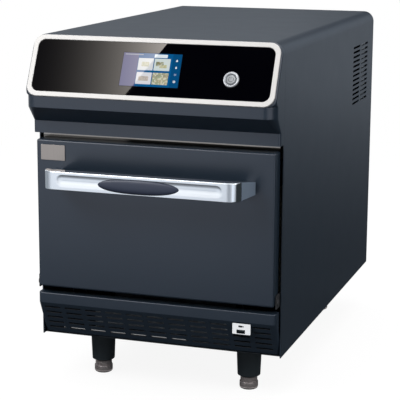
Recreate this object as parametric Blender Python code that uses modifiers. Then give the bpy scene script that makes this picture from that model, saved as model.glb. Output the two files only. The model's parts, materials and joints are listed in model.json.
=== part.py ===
"""A countertop speed oven: casing, hood, drop-down door, cavity, hot-air and microwave systems, legs.

Metres, +Z up, the door faces -Y. Lengths below are measured in the casing's own coordinates:
X from the middle, Y back from the casing's front edge, Z up from the casing's bottom edge.
The function at() moves them to the world, whose origin is under the middle of the whole oven.
"""

import math

import bmesh
import bpy
from mathutils import Matrix, Vector

# Casing
CASE_WIDTH = 0.404
CASE_DEPTH = 0.642
CASE_HEIGHT = 0.492
CASE_CORNER = 0.019
SHEET = 0.0015
HALF = CASE_WIDTH / 2
INNER_HALF = HALF - SHEET

# Clearances
SEAT_GAP = 0.0003
RUN_GAP = 0.0005
OVERRUN = 0.004
WELD = 0.00001

# Control hood, from its top edge down
HOOD_TOP_REACH = 0.0088
HOOD_REACH = 0.0538
HOOD_LIP_REACH = 0.0209
HOOD_SLOPE = math.radians(26.0)
HOOD_BAND_DROP = 0.1100
HOOD_CHAMFER = 0.0248
HOOD_LIP = 0.0197
HOOD_BAND_BOTTOM = CASE_HEIGHT - HOOD_BAND_DROP
HOOD_LIP_TOP = HOOD_BAND_BOTTOM - HOOD_CHAMFER
HOOD_BOTTOM = HOOD_LIP_TOP - HOOD_LIP
HOOD_CORNER = 0.0187
HOOD_LIP_CORNER = 0.0039
HOOD_SHEET = 0.0020

# Frame, glass and controls on the sloping face
BEZEL_SIDE_GAP = 0.0026
BEZEL_LENGTH = CASE_WIDTH - 2 * BEZEL_SIDE_GAP
BEZEL_HEIGHT = 0.1006
BEZEL_BAND = 0.0076
BEZEL_CORNER = 0.0170
BEZEL_INNER_CORNER = 0.0120
BEZEL_PROUD = 0.0025
BEZEL_BELOW_EDGE = 0.0016
GLASS_THICKNESS = 0.0015
DISPLAY_WIDTH = 0.0952
DISPLAY_HEIGHT = 0.0542
DISPLAY_DROP = 0.0007
DISPLAY_DEPTH = 0.0140
DISPLAY_FLANGE = 0.0090
FLANGE_THICKNESS = 0.0030
BUTTON_INSET = 0.0701
BUTTON_X = BEZEL_LENGTH / 2 - BUTTON_INSET
BUTTON_DROP = 0.0105
BUTTON_HEAD_RADIUS = 0.0123
BUTTON_BARREL_RADIUS = 0.0098
BUTTON_CAP_RADIUS = 0.0078
BUTTON_HEAD = 0.0026
BUTTON_DEPTH = 0.0160
BUTTON_TRAVEL = 0.0025
BUTTON_NUT_WIDTH = 0.0270
BUTTON_NUT_THICKNESS = 0.0035
BOARD_WIDTH = 0.1650
BOARD_HEIGHT = 0.0720
BOARD_THICKNESS = 0.0016

# Lower vent panel
GRILLE_SIDE_GAP = 0.0027
GRILLE_HALF_WIDTH = HALF - GRILLE_SIDE_GAP
GRILLE_REACH = 0.0220
GRILLE_TOP = 0.0760
GRILLE_BAND = 0.0170
GRILLE_BAND_BOTTOM = GRILLE_TOP - GRILLE_BAND
GRILLE_SLOPE = math.radians(26.0)
GRILLE_SHEET = 0.0012
GRILLE_CORNER = 0.0060
GRILLE_CHEEK_SET = 0.0040
GRILLE_CHEEK_DROP = 0.0140
GRILLE_FLANGE = 0.0125
SLOT_ROWS = 5
SLOT_COLUMNS = 11
SLOT_TALL = 0.0032
SLOT_MARGIN = 0.0233
SLOT_BRIDGE = 0.0076
SLOT_PITCH_X = 2 * (GRILLE_HALF_WIDTH - SLOT_MARGIN) / (SLOT_COLUMNS - 1)
SLOT_LENGTH = SLOT_PITCH_X - SLOT_BRIDGE
SLOT_FIRST = 0.0084
SLOT_LAST = 0.0102
PORT_INSET = 0.0548
PORT_X = GRILLE_HALF_WIDTH - PORT_INSET
PORT_BELOW_TOP = 0.0277
PORT_HEIGHT = GRILLE_TOP - PORT_BELOW_TOP
PORT_WIDTH = 0.0304
PORT_TALL = 0.0184
PORT_SET_BACK = 0.0002
PORT_REACH = GRILLE_REACH - PORT_SET_BACK
PORT_COLUMN = 9
PORT_ROWS = 2
SOCKET_WIDTH = 0.0125
SOCKET_TALL = 0.0048
SOCKET_DROP = 0.0044
SOCKET_DEPTH = 0.0100
TONGUE = 0.0018
SOCKET_SHIFT = 0.0010
FILTER_BACK = 0.0170
FILTER_TALL = 0.0480
FILTER_THICKNESS = 0.0040
FILTER_BORDER = 0.0070
FILTER_PLEATS = 40

# Door
DOOR_SIDE_GAP = 0.0059
DOOR_LOWER_GAP = 0.0115
DOOR_UPPER_GAP = 0.0100
DOOR_HALF_WIDTH = HALF - DOOR_SIDE_GAP
DOOR_BOTTOM = GRILLE_TOP + DOOR_LOWER_GAP
DOOR_TOP = HOOD_BOTTOM - DOOR_UPPER_GAP
DOOR_REACH = 0.02515
DOOR_EDGE = 0.0030
DOOR_PLATE_SET_BACK = 0.0018
HINGE_REACH = 0.0120
HINGE_RISE = 0.0055
HINGE_HEIGHT = DOOR_BOTTOM + HINGE_RISE
HINGE_PIN_RADIUS = 0.0040
HINGE_PLATE = 0.0020
HINGE_PLATE_GAP = 0.0011
PLUG_DEPTH = 0.0118
PLUG_GAP = 0.0025
PLUG_CORNER = 0.0080
GASKET_WIDTH = 0.0110
LATCH_INSET = 0.0076
LATCH_X = DOOR_HALF_WIDTH - LATCH_INSET
LATCH_DROP = 0.0375
LATCH_HEIGHT = DOOR_TOP - LATCH_DROP
LATCH_TALL = 0.0160
LATCH_THICK = 0.0040
LATCH_DEPTH = 0.0150

# Handle
HANDLE_REACH = 0.0910
HANDLE_DROP = 0.0659
HANDLE_BOTTOM = DOOR_TOP - HANDLE_DROP
HANDLE_TALL = 0.0292
HANDLE_INSET = 0.0381
HANDLE_SPLAY = 0.0073
HANDLE_HALF = DOOR_HALF_WIDTH - HANDLE_INSET
HANDLE_FOOT_HALF = HANDLE_HALF + HANDLE_SPLAY
HANDLE_CORNER = 0.0180
HANDLE_BAR = 0.0175
HANDLE_LEG = 0.0150
HANDLE_FOOT_DROP = 0.0075
HANDLE_EDGE = 0.0022
CHANNEL_INSET = 0.0250
CHANNEL_HALF = HANDLE_HALF - CHANNEL_INSET
CHANNEL_TALL = 0.0190
CHANNEL_DEPTH = 0.0036
CHANNEL_RISE = 0.0005
GRIP_HALF = 0.0645
GRIP_TALL = 0.0225
GRIP_CROWN = 0.0022
GRIP_DROP = 0.0020
POCKET_DEPTH = 0.0052

# Badge plate, blank
BADGE_INSET = 0.0286
BADGE_SIDE = DOOR_HALF_WIDTH - BADGE_INSET
BADGE_DROP = 0.0200
BADGE_HEIGHT = DOOR_TOP - BADGE_DROP
BADGE_WIDTH = 0.0410
BADGE_TALL = 0.0244
BADGE_THICKNESS = 0.0010

# Side vents
VENT_FROM_BACK = 0.1702
VENT_START = CASE_DEPTH - VENT_FROM_BACK
VENT_LENGTH = 0.0557
VENT_PITCH_Y = 0.0665
VENT_TALL = 0.0040
VENT_DROP = 0.1558
VENT_LOW = CASE_HEIGHT - VENT_DROP
VENT_PITCH_Z = 0.00844
VENT_ROWS = 13
VENT_COLUMNS = 2

# Legs
LEG_INSET = 0.0740
LEG_X = HALF - LEG_INSET
LEG_FRONT = 0.0790
LEG_HEIGHT = 0.0820
CUP_TOP_RADIUS = 0.0218
CUP_BOTTOM_RADIUS = 0.0188
CUP_BOTTOM = 0.0590
CUP_EDGE = 0.0020
STEM_RADIUS = 0.0060
STEM_LENGTH = 0.0480
NECK_RADIUS = 0.0139
NECK_DROP = 0.0024
BASE_RADIUS = 0.0152
BASE_TALL = 0.0125
FOOT_UP = 0.0020

# Base pan and cavity supports
PAN_HEIGHT = 0.0020
PAN_RIM = 0.0120
PAN_FRONT = 0.0030
PAN_FLOOR = PAN_HEIGHT + SHEET

# Cavity and hot-air system
HEATER_OPENING = math.radians(20)
FRAME_SET_BACK = 0.0020
FRAME_SHEET = 0.0020
FRAME_INSET = 0.0006
FRAME_HALF_WIDTH = DOOR_HALF_WIDTH - FRAME_INSET
FRAME_LOWER_LAP = 0.0025
FRAME_UPPER_LAP = 0.0125
FRAME_BOTTOM = DOOR_BOTTOM + FRAME_LOWER_LAP
FRAME_TOP = HOOD_BOTTOM + FRAME_UPPER_LAP
FRAME_BACK = FRAME_SET_BACK + FRAME_SHEET
CAVITY_INSET = 0.0381
CAVITY_HALF_WIDTH = DOOR_HALF_WIDTH - CAVITY_INSET
CAVITY_RISE = 0.0245
CAVITY_DROP = 0.0255
CAVITY_BOTTOM = DOOR_BOTTOM + CAVITY_RISE
CAVITY_TOP = DOOR_TOP - CAVITY_DROP
CAVITY_MIDDLE = (CAVITY_TOP + CAVITY_BOTTOM) / 2
CAVITY_CORNER = 0.0100
REAR_BAY = 0.2480
CAVITY_BACK = CASE_DEPTH - REAR_BAY
CAVITY_SHEET = 0.0020
WOOL = 0.0220
WOOL_BACK = CAVITY_BACK + CAVITY_SHEET + SEAT_GAP + WOOL
BLOWER_BAY = 0.0640
DIVIDER_BACK = CAVITY_BACK - BLOWER_BAY
DIVIDER_SHEET = 0.0020
PLENUM = 0.0140
JET_RADIUS = 0.0065
JET_COLUMNS = 6
JET_ROWS = 5
JET_MARGIN_X = 0.0380
JET_MARGIN_Y = 0.0600
BLOWER_DROP = 0.0050
BLOWER_HEIGHT = CAVITY_MIDDLE - BLOWER_DROP
HEATER_MARGIN = 0.0050
HEATER_RADIUS = (CAVITY_TOP - CAVITY_BOTTOM) / 2 - BLOWER_DROP - HEATER_MARGIN
HEATER_WIRE = 0.0033
BLOWER_MARGIN = 0.0130
HEATER_TAIL_X = HEATER_RADIUS * math.sin(HEATER_OPENING)
HEATER_TAIL_Z = BLOWER_HEIGHT - HEATER_RADIUS * math.cos(HEATER_OPENING)
HEATER_TAIL = 0.0150
BLOWER_RADIUS = HEATER_RADIUS - BLOWER_MARGIN
BLOWER_HUB = 0.0160
BLOWER_WIDTH = 0.0320
BLOWER_SET_BACK = 0.0140
BLOWER_FRONT = DIVIDER_BACK + BLOWER_SET_BACK
BLOWER_BLADES = 12
BLADE_THICKNESS = 0.0016
SHAFT_RADIUS = 0.0050
RETURN_MARGIN = 0.0280
RETURN_PITCH = (BLOWER_RADIUS - RETURN_MARGIN) / 2
RETURN_RADIUS = RETURN_PITCH / 4
MOTOR_PLATE_GAP = 0.0199
MOTOR_PLATE = 2 * (BLOWER_HEIGHT - HEATER_TAIL_Z - MOTOR_PLATE_GAP)
MOTOR_LIP = 0.0160
MOTOR_RADIUS = MOTOR_PLATE / 2 - MOTOR_LIP
MOTOR_LENGTH = 0.0860
RACK_RISE = 0.0330
RACK_HEIGHT = CAVITY_BOTTOM + RACK_RISE
RACK_WIRE = 0.0020
RACK_RIM = 0.0028
RACK_BARS = 13
RACK_INSET = 0.0120
RAIL_REACH = 0.0160
CERAMIC = 0.0050
SUPPORT_WIDTH = 0.0240
SUPPORT_INSET = 0.0130
SUPPORT_X = CAVITY_HALF_WIDTH - SUPPORT_INSET

# Microwave system
WAVE_SIDE_GAP = 0.0280
WAVE_HALF = SUPPORT_X - SUPPORT_WIDTH / 2 - WAVE_SIDE_GAP
WAVE_SET_BACK = 0.0150
WAVE_MIDDLE = DIVIDER_BACK / 2 + WAVE_SET_BACK
WAVE_DROP = 0.0640
WAVE_BOTTOM = CAVITY_BOTTOM - WAVE_DROP
WAVE_SHEET = 0.0015
FLOOR_HOLE_MARGIN = 0.0150
FLOOR_HOLE_HALF = WAVE_HALF - FLOOR_HOLE_MARGIN
STIRRER_MARGIN = 0.0120
STIRRER_RADIUS = FLOOR_HOLE_HALF - STIRRER_MARGIN
STIRRER_RISE = 0.0320
STIRRER_HEIGHT = WAVE_BOTTOM + STIRRER_RISE
STIRRER_SHEET = 0.0015
STIRRER_HUB = 0.0090
STIRRER_SHAFT = 0.0030
STIRRER_MOTOR_RADIUS = 0.0250
STIRRER_MOTOR_TALL = 0.0260
GUIDE_HALF = 0.0450
GUIDE_TALL = 0.0380
GUIDE_TOP = WAVE_BOTTOM + GUIDE_TALL
GUIDE_TO_REAR = 0.0670
GUIDE_BACK = CASE_DEPTH - GUIDE_TO_REAR
MAGNETRON_WIDTH = 0.0880
MAGNETRON_DEPTH = 0.0640
MAGNETRON_TALL = 0.0520
MAGNETRON_FINS = 6
MAGNETRON_PLATE = 0.0020
MAGNETRON_BODY = 0.0150
ANTENNA_RADIUS = 0.0090
ANTENNA_TALL = 0.0260

# Electrics and cooling
TRANSFORMER_SIDE = (GUIDE_HALF + INNER_HALF) / 2
TRANSFORMER_TO_REAR = 0.0920
TRANSFORMER_Y = CASE_DEPTH - TRANSFORMER_TO_REAR
CORE_WIDTH = 0.0980
CORE_DEPTH = 0.0560
CORE_TALL = 0.0840
COIL_DEPTH = 0.0900
COIL_WIDTH = 0.0620
COIL_TALL = 0.0520
CAPACITOR_TO_REAR = 0.1820
CAPACITOR_Y = CASE_DEPTH - CAPACITOR_TO_REAR
CAPACITOR_LENGTH = 0.0620
CAPACITOR_WIDTH = 0.0360
CAPACITOR_TALL = 0.0950
FAN_INSET = 0.1120
FAN_SIDE = HALF - FAN_INSET
FAN_DROP = 0.2220
FAN_HEIGHT = CASE_HEIGHT - FAN_DROP
FAN_SIZE = 0.1190
FAN_DEPTH = 0.0260
FAN_BORE = 0.0560
FAN_HUB = 0.0190
FAN_BLADES = 7
FAN_STRUT = 0.0060
FILTER_BOX = (0.0640, 0.0380, 0.0460)
POWER_BOARD = (0.1100, 0.1300)
POWER_BOARD_INSET = 0.0740
POWER_BOARD_X = HALF - POWER_BOARD_INSET
POWER_BOARD_TO_REAR = 0.1170
POWER_BOARD_Y = CASE_DEPTH - POWER_BOARD_TO_REAR
STANDOFF = 0.0100

# Rear panel
REAR_SET_IN = 0.0020
REAR_SLOT_LENGTH = 0.0700
REAR_SLOT_TALL = 0.0040
REAR_SLOT_PITCH = 0.0115
REAR_SLOT_ROWS = 7
REAR_SLOT_DROP = 0.1220
REAR_SLOT_LOW = CASE_HEIGHT - REAR_SLOT_DROP
REAR_SLOT_X = FAN_SIDE
GUARD_ROWS = 7
GUARD_PITCH = 0.0140
GUARD_RADIUS = FAN_BORE - RUN_GAP
GLAND_INSET = 0.0620
GLAND_X = HALF - GLAND_INSET
GLAND_HEIGHT = 0.0600
GLAND_RADIUS = 0.0130
GLAND_BORE = 0.0048
GLAND_REACH = 0.0180
GLAND_THREAD = 0.0090
LINE_FILTER_GAP = 0.0800
LINE_FILTER_X = GLAND_X - LINE_FILTER_GAP

FRONT_REACH = HANDLE_REACH + GRIP_CROWN
REAR_REACH = CASE_DEPTH - REAR_SET_IN + GLAND_REACH
ORIGIN_Y = (REAR_REACH - FRONT_REACH) / 2

parts = bpy.data.collections.new("speed_oven")
cutters = bpy.data.collections.new("cutters")


def at(x, y, z):
    """Casing coordinates to world coordinates."""
    return Vector((x, y - ORIGIN_Y, z + LEG_HEIGHT))


def finish(name, colour, roughness, metallic=0.0):
    """A Principled material with one colour, made once."""
    found = bpy.data.materials.get(name)
    if found:
        return found
    made = bpy.data.materials.new(name)
    made.use_nodes = True
    shader = made.node_tree.nodes["Principled BSDF"]
    shader.inputs["Base Color"].default_value = (*colour, 1.0)
    shader.inputs["Roughness"].default_value = roughness
    shader.inputs["Metallic"].default_value = metallic
    made.diffuse_color = (*colour, 1.0)
    return made


PAINT = finish("anthracite_paint", (0.040, 0.050, 0.066), 0.38)
GALVANISED = finish("galvanised_steel", (0.52, 0.54, 0.56), 0.42, 1.0)
STAINLESS = finish("stainless_steel", (0.62, 0.62, 0.63), 0.30, 1.0)
CHROME = finish("satin_chrome", (0.86, 0.87, 0.89), 0.16, 1.0)
BRUSHED = finish("brushed_aluminium", (0.84, 0.83, 0.82), 0.32, 1.0)
GLASS = finish("black_glass", (0.006, 0.006, 0.008), 0.05)
SCREEN = finish("screen_glass", (0.01, 0.10, 0.16), 0.08)
RUBBER = finish("dark_rubber", (0.055, 0.055, 0.070), 0.55)
PLASTIC = finish("black_plastic", (0.018, 0.019, 0.021), 0.45)
WOOL_MAT = finish("mineral_wool", (0.62, 0.58, 0.48), 0.95)
CERAMIC_MAT = finish("cream_ceramic", (0.78, 0.74, 0.66), 0.45)
COPPER = finish("enamelled_copper", (0.55, 0.24, 0.08), 0.35, 1.0)
CIRCUIT = finish("circuit_board", (0.02, 0.16, 0.07), 0.50)
IRON = finish("laminated_iron", (0.20, 0.20, 0.21), 0.55, 1.0)


def keep(obj, name, mat):
    """Names an object, gives it its material and files it under the oven."""
    obj.name = name
    obj.data.name = name
    obj.data.materials.clear()
    obj.data.materials.append(mat)
    for owner in list(obj.users_collection):
        owner.objects.unlink(obj)
    parts.objects.link(obj)
    return obj


def cutter(obj):
    """Files an object under the cutters, out of sight."""
    for owner in list(obj.users_collection):
        owner.objects.unlink(obj)
    cutters.objects.link(obj)
    obj.hide_render = True
    obj.display_type = "WIRE"
    return obj


def from_bmesh(bm, location=(0, 0, 0), rotation=(0, 0, 0)):
    """A linked object from a bmesh, placed by its location and rotation."""
    mesh = bpy.data.meshes.new("piece")
    bm.to_mesh(mesh)
    bm.free()
    obj = bpy.data.objects.new("piece", mesh)
    bpy.context.scene.collection.objects.link(obj)
    obj.location = location
    obj.rotation_euler = rotation
    return obj


def box(low, high):
    """A box between two corners in casing coordinates."""
    size = [b - a for a, b in zip(low, high)]
    middle = [(a + b) / 2 for a, b in zip(low, high)]
    bm = bmesh.new()
    bmesh.ops.create_cube(bm, size=1.0)
    bmesh.ops.scale(bm, vec=size, verts=bm.verts)
    return from_bmesh(bm, at(*middle))


def local_box(size, centre=(0, 0, 0)):
    """A box round its own centre, for a piece placed by an empty."""
    bm = bmesh.new()
    bmesh.ops.create_cube(bm, size=1.0)
    bmesh.ops.scale(bm, vec=size, verts=bm.verts)
    return from_bmesh(bm, centre)


def rod(radius, start, end, sides=16, end_radius=None):
    """A closed cylinder or cone between two points in casing coordinates."""
    a = at(*start)
    b = at(*end)
    reach = b - a
    bm = bmesh.new()
    bmesh.ops.create_cone(
        bm, cap_ends=True, segments=sides, radius1=radius,
        radius2=radius if end_radius is None else end_radius, depth=reach.length)
    obj = from_bmesh(bm, (a + b) / 2)
    obj.rotation_euler = reach.to_track_quat("Z", "Y").to_euler()
    return obj


def prism(outline, low, high):
    """A closed prism: an outline of (y, z) points in casing coordinates, from x low to x high."""
    bm = bmesh.new()
    bottom = [bm.verts.new(at(low, y, z)) for y, z in outline]
    bm.faces.new(bottom)
    grown = bmesh.ops.extrude_face_region(bm, geom=bm.faces[:])
    moved = [v for v in grown["geom"] if isinstance(v, bmesh.types.BMVert)]
    bmesh.ops.translate(bm, vec=(high - low, 0, 0), verts=moved)
    bmesh.ops.recalc_face_normals(bm, faces=bm.faces)
    return from_bmesh(bm)


def rounded(width, height, radius, steps=4, centre=(0, 0)):
    """Points round a rectangle with round corners, anticlockwise."""
    points = []
    corners = ((1, 1, 0), (-1, 1, 90), (-1, -1, 180), (1, -1, 270))
    for sx, sy, start in corners:
        cx = centre[0] + sx * (width / 2 - radius)
        cy = centre[1] + sy * (height / 2 - radius)
        for i in range(steps + 1):
            angle = math.radians(start + 90 * i / steps)
            points.append((cx + radius * math.cos(angle), cy + radius * math.sin(angle)))
    return points


def circle(radius, sides, centre=(0, 0)):
    """Points round a circle."""
    step = math.tau / sides
    return [(centre[0] + radius * math.cos(i * step), centre[1] + radius * math.sin(i * step))
            for i in range(sides)]


def slot(length, tall, centre):
    """A slot's outline with bevelled ends."""
    return rounded(length, tall, tall * 0.45, 1, centre)


def plate(outlines, thickness):
    """A flat plate from a filled 2D curve: the first outline is the rim and the rest are holes."""
    curve = bpy.data.curves.new("plate", "CURVE")
    curve.dimensions = "2D"
    curve.fill_mode = "BOTH"
    curve.extrude = thickness / 2
    for outline in outlines:
        spline = curve.splines.new("POLY")
        spline.points.add(len(outline) - 1)
        for point, (x, y) in zip(spline.points, outline):
            point.co = (x, y, 0, 1)
        spline.use_cyclic_u = True
    return to_mesh(bpy.data.objects.new("plate", curve))


def to_mesh(source):
    """A curve object as a welded mesh object in the same place."""
    bpy.context.scene.collection.objects.link(source)
    bpy.context.view_layer.update()
    graph = bpy.context.evaluated_depsgraph_get()
    mesh = bpy.data.meshes.new_from_object(source.evaluated_get(graph))
    bm = bmesh.new()
    bm.from_mesh(mesh)
    bmesh.ops.remove_doubles(bm, verts=bm.verts, dist=WELD)
    bmesh.ops.recalc_face_normals(bm, faces=bm.faces)
    bm.to_mesh(mesh)
    bm.free()
    made = bpy.data.objects.new(source.name, mesh)
    made.matrix_world = source.matrix_world
    bpy.context.scene.collection.objects.link(made)
    bpy.data.objects.remove(source)
    return made


def upright(obj, x, y, z):
    """Stands a flat plate up in the XZ plane, its face towards the front."""
    obj.location = at(x, y, z)
    obj.rotation_euler = (math.pi / 2, 0, 0)
    return obj


def turned(profile, steps=24):
    """A profile of (radius, height) points turned round the Z axis; a closed one is a ring."""
    ring = profile[0][0] > 0
    bm = bmesh.new()
    points = [bm.verts.new((r, 0, z)) for r, z in profile]
    for a, b in zip(points, points[1:]):
        bm.edges.new((a, b))
    if ring:
        bm.edges.new((points[-1], points[0]))
    obj = from_bmesh(bm)
    screw = obj.modifiers.new("turn", "SCREW")
    screw.steps = steps
    screw.render_steps = steps
    screw.use_merge_vertices = True
    screw.merge_threshold = WELD
    screw.use_smooth_shade = False
    return obj


def wire(points, radius, resolution=2, cyclic=False):
    """A round wire along points in casing coordinates, as a welded mesh."""
    curve = bpy.data.curves.new("wire", "CURVE")
    curve.dimensions = "3D"
    curve.bevel_depth = radius
    curve.bevel_resolution = resolution
    curve.use_fill_caps = True
    spline = curve.splines.new("POLY")
    spline.points.add(len(points) - 1)
    for point, place in zip(spline.points, points):
        point.co = (*at(*place), 1)
    spline.use_cyclic_u = cyclic
    return to_mesh(bpy.data.objects.new("wire", curve))


def cut(obj, *tools):
    """Takes each tool away from the object."""
    for tool in tools:
        cutter(tool)
        step = obj.modifiers.new("cut", "BOOLEAN")
        step.operation = "DIFFERENCE"
        step.object = tool
    return obj


def add(obj, *tools):
    """Joins each tool to the object."""
    for tool in tools:
        cutter(tool)
        step = obj.modifiers.new("join", "BOOLEAN")
        step.operation = "UNION"
        step.object = tool
    return obj


def bevel(obj, width, segments=2, angle=math.radians(40)):
    """Rounds the object's sharp edges."""
    step = obj.modifiers.new("edge", "BEVEL")
    step.width = width
    step.segments = segments
    step.limit_method = "ANGLE"
    step.angle_limit = angle
    return obj


def group(objects):
    """One object that holds several separate cutters."""
    bm = bmesh.new()
    bpy.context.view_layer.update()
    for obj in objects:
        mesh = obj.data
        mesh.transform(obj.matrix_world)
        bm.from_mesh(mesh)
        bpy.data.objects.remove(obj)
    return from_bmesh(bm)


def mirrored(make, name, mat):
    """A left and a right piece from a function of the side's sign."""
    return [keep(make(side), name + end, mat) for side, end in ((-1, "_left"), (1, "_right"))]


def shell(rows, close=False):
    """An open surface through rows of points, each row as long as the next."""
    bm = bmesh.new()
    grid = [[bm.verts.new(p) for p in row] for row in rows]
    for upper, lower in zip(grid, grid[1:]):
        for i in range(len(upper) - 1):
            bm.faces.new((upper[i], upper[i + 1], lower[i + 1], lower[i]))
    if close:
        bm.faces.new(grid[0])
        bm.faces.new(list(reversed(grid[-1])))
    bmesh.ops.remove_doubles(bm, verts=bm.verts, dist=WELD)
    bmesh.ops.recalc_face_normals(bm, faces=bm.faces)
    return bm


def solidify(obj, thickness, offset):
    """Gives an open surface its wall."""
    wall = obj.modifiers.new("wall", "SOLIDIFY")
    wall.thickness = thickness
    wall.offset = offset
    wall.use_even_offset = True
    return obj


# Casing and base

def case_outline(inset, steps=6):
    """The casing's section from the left bottom edge over the top, as (x, z) points."""
    half = HALF - inset
    top = CASE_HEIGHT - inset
    radius = CASE_CORNER - inset
    left = [(-half, 0)]
    for i in range(steps + 1):
        angle = math.pi - math.pi / 2 * i / steps
        left.append((-half + radius + radius * math.cos(angle), top - radius + radius * math.sin(angle)))
    return left + [(-x, z) for x, z in reversed(left)]


def outer_casing():
    rim = case_outline(0) + list(reversed(case_outline(SHEET)))
    obj = plate([rim], CASE_DEPTH)
    upright(obj, 0, CASE_DEPTH / 2, 0)
    slots = []
    for column in range(VENT_COLUMNS):
        for row in range(VENT_ROWS):
            y = VENT_START + column * VENT_PITCH_Y + VENT_LENGTH / 2
            z = VENT_LOW + row * VENT_PITCH_Z
            slots.append(prism(slot(VENT_LENGTH, VENT_TALL, (y, z)), -HALF - OVERRUN, HALF + OVERRUN))
    cut(obj, group(slots))
    return keep(obj, "outer_casing", PAINT)


def base_pan():
    """A tray with its sides and back turned up and its front left open for the vent panel."""
    half = INNER_HALF - SEAT_GAP
    back = CASE_DEPTH - REAR_SET_IN - SHEET - SEAT_GAP
    pan = box((-half, PAN_FRONT, PAN_HEIGHT), (half, back, PAN_HEIGHT + PAN_RIM))
    hollow = box((-half + SHEET, PAN_FRONT - OVERRUN, PAN_HEIGHT + SHEET),
                 (half - SHEET, back - SHEET, PAN_HEIGHT + PAN_RIM + OVERRUN))
    corner = box((-HALF, PAN_FRONT - OVERRUN, PAN_HEIGHT + SHEET),
                 (HALF, GRILLE_FLANGE + SEAT_GAP, PAN_HEIGHT + PAN_RIM + OVERRUN))
    return keep(cut(pan, hollow, corner), "base_pan", GALVANISED)


def cavity_support(side):
    """A channel on the pan that carries the cavity and its wool."""
    low = PAN_FLOOR + SEAT_GAP
    high = CAVITY_BOTTOM - CAVITY_SHEET - SEAT_GAP - WOOL - SEAT_GAP
    x = side * SUPPORT_X
    outer = box((x - SUPPORT_WIDTH / 2, WOOL, low), (x + SUPPORT_WIDTH / 2, CAVITY_BACK, high))
    inner = box((x - SUPPORT_WIDTH / 2 + SHEET, WOOL - OVERRUN, low - OVERRUN),
                (x + SUPPORT_WIDTH / 2 - SHEET, CAVITY_BACK + OVERRUN, high - SHEET))
    return cut(outer, inner)


def rear_panel():
    half = INNER_HALF - SEAT_GAP
    low = PAN_HEIGHT
    top = CASE_HEIGHT - SHEET - SEAT_GAP
    middle = (low + top) / 2
    rim = rounded(2 * half, top - low, CASE_CORNER - SHEET, 4, (0, middle))
    holes = [circle(GLAND_THREAD + SEAT_GAP, 16, (GLAND_X, GLAND_HEIGHT))]
    for side in (-1, 1):
        for row in range(REAR_SLOT_ROWS):
            centre = (side * REAR_SLOT_X, REAR_SLOT_LOW + row * REAR_SLOT_PITCH)
            holes.append(slot(REAR_SLOT_LENGTH, REAR_SLOT_TALL, centre))
    for row in range(GUARD_ROWS):
        drop = (row - (GUARD_ROWS - 1) / 2) * GUARD_PITCH
        length = 2 * math.sqrt(GUARD_RADIUS ** 2 - drop ** 2)
        holes.append(slot(length, REAR_SLOT_TALL, (-FAN_SIDE, FAN_HEIGHT + drop)))
    obj = plate([rim] + holes, SHEET)
    upright(obj, 0, CASE_DEPTH - REAR_SET_IN - SHEET / 2, 0)
    return keep(obj, "rear_panel", PAINT)


def cable_gland():
    """A screwed gland with a domed nut outside the rear panel and a bare bore."""
    face = SEAT_GAP
    profile = [
        (GLAND_BORE, GLAND_REACH), (GLAND_RADIUS * 0.62, GLAND_REACH),
        (GLAND_RADIUS * 0.85, GLAND_REACH * 0.72), (GLAND_RADIUS * 0.85, GLAND_REACH * 0.36),
        (GLAND_RADIUS, GLAND_REACH * 0.36), (GLAND_RADIUS, face), (GLAND_THREAD, face),
        (GLAND_THREAD, -GLAND_REACH * 0.5), (GLAND_BORE, -GLAND_REACH * 0.5)]
    obj = turned(profile, 20)
    obj.location = at(GLAND_X, CASE_DEPTH - REAR_SET_IN, GLAND_HEIGHT)
    obj.rotation_euler = (-math.pi / 2, 0, 0)
    return keep(obj, "cable_gland", PLASTIC)


def leg_cup(x, y):
    top = PAN_HEIGHT - SEAT_GAP
    bore = STEM_RADIUS + SEAT_GAP
    bore_top = -CUP_BOTTOM - NECK_DROP + STEM_LENGTH + FOOT_UP + RUN_GAP
    profile = [
        (0, top), (CUP_TOP_RADIUS, top), (CUP_BOTTOM_RADIUS, -CUP_BOTTOM + CUP_EDGE),
        (CUP_BOTTOM_RADIUS - CUP_EDGE, -CUP_BOTTOM), (bore, -CUP_BOTTOM), (bore, bore_top), (0, bore_top)]
    obj = turned(profile)
    obj.location = at(x, y, 0)
    return obj


def leg_foot(x, y):
    """A levelling foot: its stem runs in the cup, and it turns out to level the oven."""
    neck_top = -CUP_BOTTOM - NECK_DROP
    base_top = -LEG_HEIGHT + BASE_TALL
    stem_top = neck_top + STEM_LENGTH
    profile = [
        (0, stem_top), (STEM_RADIUS, stem_top), (STEM_RADIUS, neck_top), (NECK_RADIUS, neck_top),
        (NECK_RADIUS, base_top), (BASE_RADIUS, base_top - CUP_EDGE / 2),
        (BASE_RADIUS, -LEG_HEIGHT + CUP_EDGE), (BASE_RADIUS - CUP_EDGE, -LEG_HEIGHT), (0, -LEG_HEIGHT)]
    obj = turned(profile)
    obj.location = at(x, y, 0)
    return obj


def legs():
    back = CASE_DEPTH - LEG_FRONT
    places = {
        "front_left": (-LEG_X, LEG_FRONT), "front_right": (LEG_X, LEG_FRONT),
        "rear_left": (-LEG_X, back), "rear_right": (LEG_X, back)}
    for name, (x, y) in places.items():
        keep(leg_cup(x, y), "leg_cup_" + name, PLASTIC)
        keep(leg_foot(x, y), "leg_foot_" + name, STAINLESS)


# Control hood

def hood_half_width(z):
    """The hood's half width at a height, following the casing's round top corner."""
    rise = z - (CASE_HEIGHT - CASE_CORNER)
    if rise <= 0:
        return HALF
    return HALF - CASE_CORNER + math.sqrt(max(CASE_CORNER ** 2 - rise ** 2, 0))


def slope_run(z):
    """How far down the sloping face a height lies."""
    return (CASE_HEIGHT - z) / math.cos(HOOD_SLOPE)


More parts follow.
